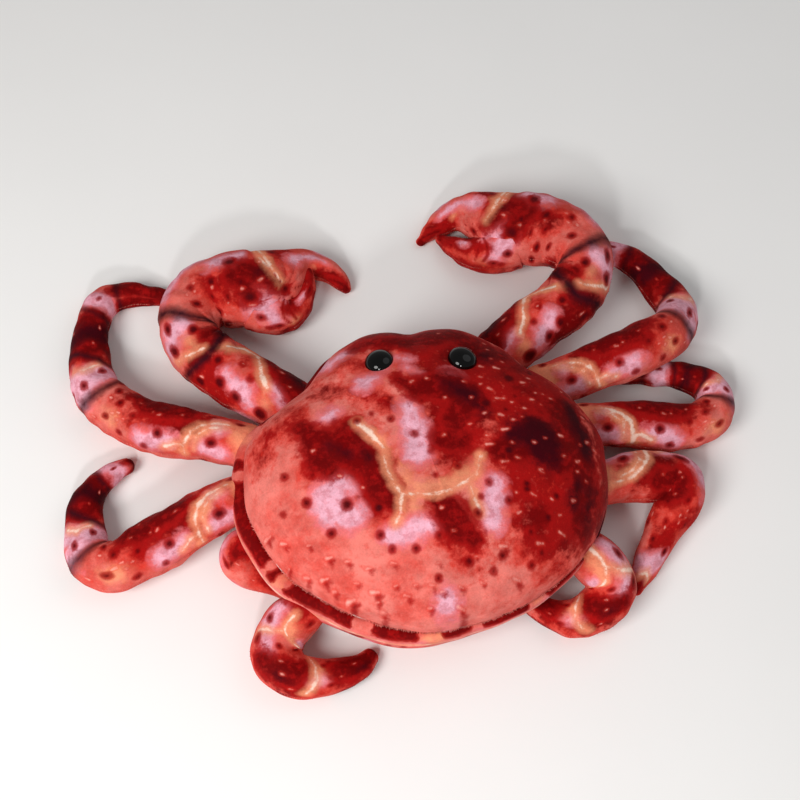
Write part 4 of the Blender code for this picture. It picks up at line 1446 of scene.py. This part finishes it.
def shell_print_group():
    """Turns the stored fields into the printed colours of the cloth."""
    group, given, result = new_group(
        "shell_print",
        (
            ("Ground", "NodeSocketVector", None), ("Shapes", "NodeSocketVector", None),
            ("Marks", "NodeSocketVector", None), ("Place", "NodeSocketVector", None),
            ("Paleness", "NodeSocketFloat", 0.5),
        ),
        (("Color", "NodeSocketColor"),),
    )
    place = given.outputs["Place"]
    parts = {}
    for socket, (_, labels) in PRINT_FIELDS.items():
        split = linked_node(group, "ShaderNodeSeparateXYZ", {0: given.outputs[socket]})
        for label, out in zip(labels, split.outputs):
            parts[label] = out
    broad = noise(group, place, 60, 5, 0.6)
    medium = noise(group, place, 150, 5, 0.65)
    fine = noise(group, place, 430, 4, 0.65)
    streak = noise(group, place, 26, 6, 0.62)
    fleck = noise(group, place, 210, 2, 0.5)

    def uneven(label, by_broad, by_medium, by_fine=0.0):
        """A field of the print with its edge broken up by noise."""
        value = parts[label]
        inside = smooth_step(group, value, 0.0, 0.2)
        for field, weight in ((broad, by_broad), (medium, by_medium), (fine, by_fine)):
            if weight:
                offset = arithmetic(group, "MULTIPLY", arithmetic(group, "SUBTRACT", field, 0.5), weight)
                offset = arithmetic(group, "MULTIPLY", offset, inside)
                value = arithmetic(group, "ADD", value, offset)
        return value

    paler = arithmetic(group, "SUBTRACT", given.outputs["Paleness"], 0.5)
    paler = arithmetic(group, "MULTIPLY", paler, 0.4)
    streaked = arithmetic(group, "ADD", streak, paler)
    ground = blend(group, smooth_step(group, streaked, 0.36, 0.66), CORAL, SALMON)
    ground = blend(group, smooth_step(group, medium, 0.50, 0.76, 0.55), ground, EMBER)
    ground = blend(group, smooth_step(group, fleck, 0.58, 0.76, 0.45), ground, SALMON)
    warm = blend(group, smooth_step(group, medium, 0.56, 0.72, 0.8), BLOOD, EMBER)
    warm = blend(group, smooth_step(group, streak, 0.46, 0.62, 0.9), warm, DEEP_RED)
    warm = blend(group, smooth_step(group, fleck, 0.60, 0.76, 0.40), warm, CORAL)
    lilac = blend(group, smooth_step(group, medium, 0.42, 0.64), LILAC, GREY_LILAC)
    red = blend(group, smooth_step(group, medium, 0.44, 0.68, 0.8), DEEP_RED, BLOOD)
    # Each coat: its field, how far noise breaks its edge, how it mixes, and its colours,
    # each between two values of the field and by an amount
    colour = ground
    for label, edges, mode, coats in (
        ("heat", (1.5, 0.8), "MIX", ((0.05, 0.50, 0.7, EMBER), (0.35, 0.75, 1.0, warm))),
        ("tan", (1.0, 0.8), "MIX", ((0.25, 0.95, 0.85, TAN),)),
        ("lilac", (1.2, 0.8), "MIX", ((0.08, 0.50, 0.75, ROSE), (0.40, 0.80, 1.0, lilac))),
        ("dark", (1.1, 0.8), "MIX", ((0.10, 0.46, 0.9, BLOOD), (0.42, 0.80, 1.0, red))),
        ("night", (1.1, 0.8), "MIX", ((0.22, 0.95, 0.95, WINE),)),
        ("cream", (0.5, 0.4), "MIX", ((0.10, 0.56, 0.7, TAN), (0.50, 0.66, 0.95, IVORY))),
        # The pit coats also paint the shade laid into the folds and creases of the limbs.
        ("pit", (0.4, 0.6), "DARKEN", ((0.12, 0.56, 0.85, BLOOD), (0.45, 0.95, 0.9, DEEP_RED))),
        ("pit", (0.3, 0.4), "MIX", ((0.72, 1.15, 0.85, WINE),)),
        ("band", (0.3, 0.4), "MIX", ((0.08, 0.50, 0.55, WINE), (0.34, 0.86, 0.97, BAND_BLACK))),
        ("dot", (0.3, 0.5, 0.3), "MIX", ((0.06, 0.40, 0.35, EMBER), (0.34, 0.90, 0.92, PALE_DOT))),
    ):
        field = uneven(label, *edges)
        for low, high, amount, over in coats:
            colour = blend(group, smooth_step(group, field, low, high, amount), colour, over, mode)
    group.links.new(colour, result.inputs["Color"])
    return group


def short_pile_group():
    """The brushed short pile: its height, and how the nap lightens and darkens the colour."""
    group, given, result = new_group(
        "short_pile",
        (("Color", "NodeSocketColor", None), ("Place", "NodeSocketVector", None),
         ("Nap Contrast", "NodeSocketFloat", 0.18)),
        (("Color", "NodeSocketColor"), ("Height", "NodeSocketFloat"), ("Roughness", "NodeSocketFloat")),
    )
    place = given.outputs["Place"]
    tuft = noise(group, place, 700, 2, 0.7)
    strand = noise(group, place, 2600, 1, 0.5)
    brushed = noise(group, place, 70, 3, 0.6)
    height = arithmetic(group, "ADD", arithmetic(group, "MULTIPLY", tuft, 0.7),
                        arithmetic(group, "MULTIPLY", strand, 0.3))
    lift = arithmetic(group, "ADD", arithmetic(group, "MULTIPLY", brushed, 0.6),
                      arithmetic(group, "MULTIPLY", tuft, 0.4))
    lift = arithmetic(group, "MULTIPLY", arithmetic(group, "SUBTRACT", lift, 0.5),
                      given.outputs["Nap Contrast"])
    value = arithmetic(group, "ADD", arithmetic(group, "MULTIPLY", lift, 2.0), 1.0)
    tone = add_node(group, "ShaderNodeHueSaturation")
    group.links.new(given.outputs["Color"], tone.inputs["Color"])
    group.links.new(value, tone.inputs["Value"])
    group.links.new(tone.outputs["Color"], result.inputs["Color"])
    group.links.new(height, result.inputs["Height"])
    group.links.new(smooth_step(group, brushed, 0.2, 0.8, 0.22), result.inputs["Roughness"])
    return group


def new_material(name):
    """A material, with its tree, its shader and its place on the object."""
    material = bpy.data.materials.new(name)
    material.use_nodes = True
    tree = material.node_tree
    place = add_node(tree, "ShaderNodeTexCoord").outputs["Object"]
    return material, tree, tree.nodes["Principled BSDF"], place


def plush_material(name, shell_print, short_pile, paleness):
    """Printed short-pile plush."""
    material, tree, shader, place = new_material(name)
    printed = linked_node(tree, "ShaderNodeGroup", {
        "Place": place, "Paleness": paleness,
    }, node_tree=shell_print)
    for socket, (attribute, _) in PRINT_FIELDS.items():
        source = add_node(tree, "ShaderNodeAttribute", attribute_name=attribute)
        tree.links.new(source.outputs["Vector"], printed.inputs[socket])
    pile = linked_node(tree, "ShaderNodeGroup", {
        "Color": printed.outputs["Color"], "Place": place, "Nap Contrast": 0.55,
    }, node_tree=short_pile)
    tree.links.new(pile.outputs["Color"], shader.inputs["Base Color"])
    rough = arithmetic(tree, "ADD", pile.outputs["Roughness"], 0.70)
    tree.links.new(rough, shader.inputs["Roughness"])
    bump = linked_node(tree, "ShaderNodeBump", {
        "Strength": 0.5, "Distance": 0.0007, "Height": pile.outputs["Height"],
    })
    tree.links.new(bump.outputs["Normal"], shader.inputs["Normal"])
    shader.inputs["Specular IOR Level"].default_value = 0.06
    shader.inputs["Sheen Weight"].default_value = 0.09
    shader.inputs["Sheen Roughness"].default_value = 0.30
    shader.inputs["Sheen Tint"].default_value = (1.0, 0.6, 0.6, 1.0)
    return material


def eye_material():
    """Polished black plastic with a faint wipe of dust."""
    material, tree, shader, place = new_material("polished_black_eye")
    dust = noise(tree, place, 220, 4, 0.7)
    colour = blend(tree, smooth_step(tree, dust, 0.55, 0.9, 0.3), (0.001, 0.001, 0.001),
                   (0.006, 0.006, 0.007))
    tree.links.new(colour, shader.inputs["Base Color"])
    tree.links.new(smooth_step(tree, dust, 0.3, 0.9, 0.12), shader.inputs["Roughness"])
    shader.inputs["Specular IOR Level"].default_value = 0.26
    return material


def washer_material():
    """Natural moulded plastic with a fine grain."""
    material, tree, shader, place = new_material("moulded_washer")
    grain = noise(tree, place, 800, 3)
    colour = blend(tree, smooth_step(tree, grain, 0.3, 0.7), (0.72, 0.72, 0.69), (0.84, 0.84, 0.82))
    tree.links.new(colour, shader.inputs["Base Color"])
    tree.links.new(arithmetic(tree, "ADD", smooth_step(tree, grain, 0.3, 0.7, 0.15), 0.4),
                   shader.inputs["Roughness"])
    return material


def filling_material():
    """White fibre, tangled and dull."""
    material, tree, shader, place = new_material("loose_white_fibre")
    tangle = noise(tree, place, 180, 6, 0.7)
    colour = blend(tree, smooth_step(tree, tangle, 0.3, 0.7), (0.72, 0.71, 0.68), (0.90, 0.89, 0.87))
    tree.links.new(colour, shader.inputs["Base Color"])
    shader.inputs["Roughness"].default_value = 0.95
    bump = linked_node(tree, "ShaderNodeBump", {"Distance": 0.002, "Height": tangle})
    tree.links.new(bump.outputs["Normal"], shader.inputs["Normal"])
    return material


def place_camera():
    """The camera, looking down over the tail from the left, as the photograph was taken."""
    elevation, azimuth, roll = map(math.radians, (CAMERA_ELEVATION, CAMERA_AZIMUTH, CAMERA_ROLL))
    back = Vector((
        math.sin(azimuth) * math.cos(elevation),
        -math.cos(azimuth) * math.cos(elevation),
        math.sin(elevation),
    ))
    right = (-back).cross(Vector((0, 0, 1))).normalized()
    up = right.cross(-back)
    rolled_right = right * math.cos(roll) + up * math.sin(roll)
    rolled_up = up * math.cos(roll) - right * math.sin(roll)
    lens = bpy.data.cameras.new("camera")
    lens.sensor_width = 36.0
    lens.lens = lens.sensor_width * CAMERA_DISTANCE / VIEW_WIDTH
    lens.clip_start = 0.05
    camera = bpy.data.objects.new("camera", lens)
    bpy.context.scene.collection.objects.link(camera)
    place = Vector(CAMERA_TARGET) + back * CAMERA_DISTANCE
    for row in range(3):
        camera.matrix_world[row][0] = rolled_right[row]
        camera.matrix_world[row][1] = rolled_up[row]
        camera.matrix_world[row][2] = back[row]
        camera.matrix_world[row][3] = place[row]
    bpy.context.scene.camera = camera


def light_studio():
    """A soft key from the left, a fill, a small lamp that glints in the eyes, and a pale floor."""
    for name, place, size, power, tint in (
        ("key", (-0.95, -0.75, 1.25), 0.8, 20, (1.0, 0.985, 0.96)),
        ("fill", (0.9, 0.5, 1.3), 1.4, 3.5, (0.96, 0.98, 1.0)),
        ("window", (-0.30, -1.25, 0.95), 0.18, 6.6, (1.0, 1.0, 1.0)),
    ):
        lamp = bpy.data.lights.new(name, "AREA")
        lamp.shape = "DISK"
        lamp.size = size
        lamp.energy = power
        lamp.color = tint
        light = bpy.data.objects.new(name, lamp)
        light.location = place
        aim = Vector((0, 0.05, 0.04)) - Vector(place)
        light.rotation_euler = aim.to_track_quat("-Z", "Y").to_euler()
        bpy.context.scene.collection.objects.link(light)
    world = bpy.data.worlds.new("studio_air")
    world.use_nodes = True
    air = world.node_tree.nodes["Background"]
    air.inputs["Color"].default_value = (1.0, 0.985, 0.97, 1.0)
    air.inputs["Strength"].default_value = 0.30
    bpy.context.scene.world = world
    bpy.context.scene.view_settings.view_transform = "Standard"

    mesh = bpy.data.meshes.new("floor")
    mesh.from_pydata([(-4, -4, 0), (4, -4, 0), (4, 4, 0), (-4, 4, 0)], [], [(0, 1, 2, 3)])
    floor = show("floor", mesh)
    material, tree, shader, place = new_material("pale_floor")
    colour = blend(tree, noise(tree, place, 6, 3), (0.86, 0.855, 0.85), (0.90, 0.895, 0.89))
    tree.links.new(colour, shader.inputs["Base Color"])
    shader.inputs["Roughness"].default_value = 0.9
    mesh.materials.append(material)


def dress(name, mesh, material, node):
    """Puts a finished stuffed piece in the frame."""
    piece = show(name, mesh)
    mesh.materials.clear()
    mesh.materials.append(material)
    mesh.polygons.foreach_set("material_index", np.zeros(len(mesh.polygons), np.int32))
    mesh.shade_smooth()
    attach(piece, "root")
    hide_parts(node)
    return piece


def polished_eye(node, material):
    """A smooth dome on its stem, turned about the axis of the eye's solid."""
    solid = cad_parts[node]
    points = np.array([tuple(solid.matrix_world @ vertex.co) for vertex in solid.data.vertices])
    middle = points.mean(axis=0)
    spread, ways = np.linalg.eigh(np.cov((points - middle).T))
    axis = ways[:, 2] if spread[1] - spread[0] < spread[2] - spread[1] else ways[:, 0]
    axis = axis * np.sign(axis[2])
    side = np.cross(axis, (0.0, 1.0, 0.0))
    side /= np.linalg.norm(side)
    front = np.cross(axis, side)
    heights = (points - middle) @ axis
    top, bottom = heights.max(), heights.min()
    seat = top - EYE_HEIGHT - EYE_SEAT
    profile = [(bottom, EYE_STEM_RADIUS), (seat - EYE_EDGE, EYE_STEM_RADIUS), (seat, EYE_STEM_RADIUS)]
    profile += [(seat, EYE_RADIUS - EYE_EDGE), (seat + EYE_EDGE, EYE_RADIUS)]
    for k in range(EYE_RINGS):
        turn = 0.5 * math.pi * k / EYE_RINGS
        profile.append((top - EYE_HEIGHT + EYE_HEIGHT * math.sin(turn), EYE_RADIUS * math.cos(turn)))
    turns = np.arange(EYE_SIDES) * 2 * math.pi / EYE_SIDES
    around = np.outer(np.cos(turns), side) + np.outer(np.sin(turns), front)
    grid = np.array([middle + axis * height + around * radius for height, radius in profile])
    mesh = skin("polished_" + node, grid, middle + axis * bottom, middle + axis * top)
    face_outwards(mesh)
    piece = show("polished_" + node, mesh)
    mesh.materials.append(material)
    mesh.shade_smooth()
    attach(piece, "root")
    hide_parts(node)


def main():
    """Camera and light, then the body, the limbs and the eyes."""
    place_camera()
    light_studio()
    shell_print = shell_print_group()
    short_pile = short_pile_group()
    carapace_cloth = plush_material("carapace_plush", shell_print, short_pile, CARAPACE_PALENESS)
    belly_cloth = plush_material("belly_plush", shell_print, short_pile, BELLY_PALENESS)
    limb_cloth = plush_material("limb_plush", shell_print, short_pile, LIMB_PALENESS)

    fringe = pile_fringe_tree()
    carapace, belly, (dome_seam, belly_seam) = body_pieces()
    print_carapace(carapace)
    print_belly(belly)
    carapace = with_fringe("carapace", carapace, (dome_seam,), fringe, carapace_cloth, BODY_FRINGE)
    belly = with_fringe("belly", belly, (belly_seam,), fringe, belly_cloth, BODY_FRINGE)
    dress("carapace", carapace, carapace_cloth, "carapace_panel")
    dress("belly", belly, belly_cloth, "belly_panel")
    dress("filling", loose_filling(), filling_material(), "body_filling")
    for name, mesh in make_legs(fringe, limb_cloth).items():
        dress("plush_" + name, mesh, limb_cloth, name)
    for name, mesh in make_claws(fringe, limb_cloth).items():
        dress("plush_" + name, mesh, limb_cloth, name)

    black_plastic = eye_material()
    moulded = washer_material()
    for side in ("left", "right"):
        polished_eye("eye_" + side, black_plastic)
        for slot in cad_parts["eye_washer_" + side].material_slots:
            slot.material = moulded


main()
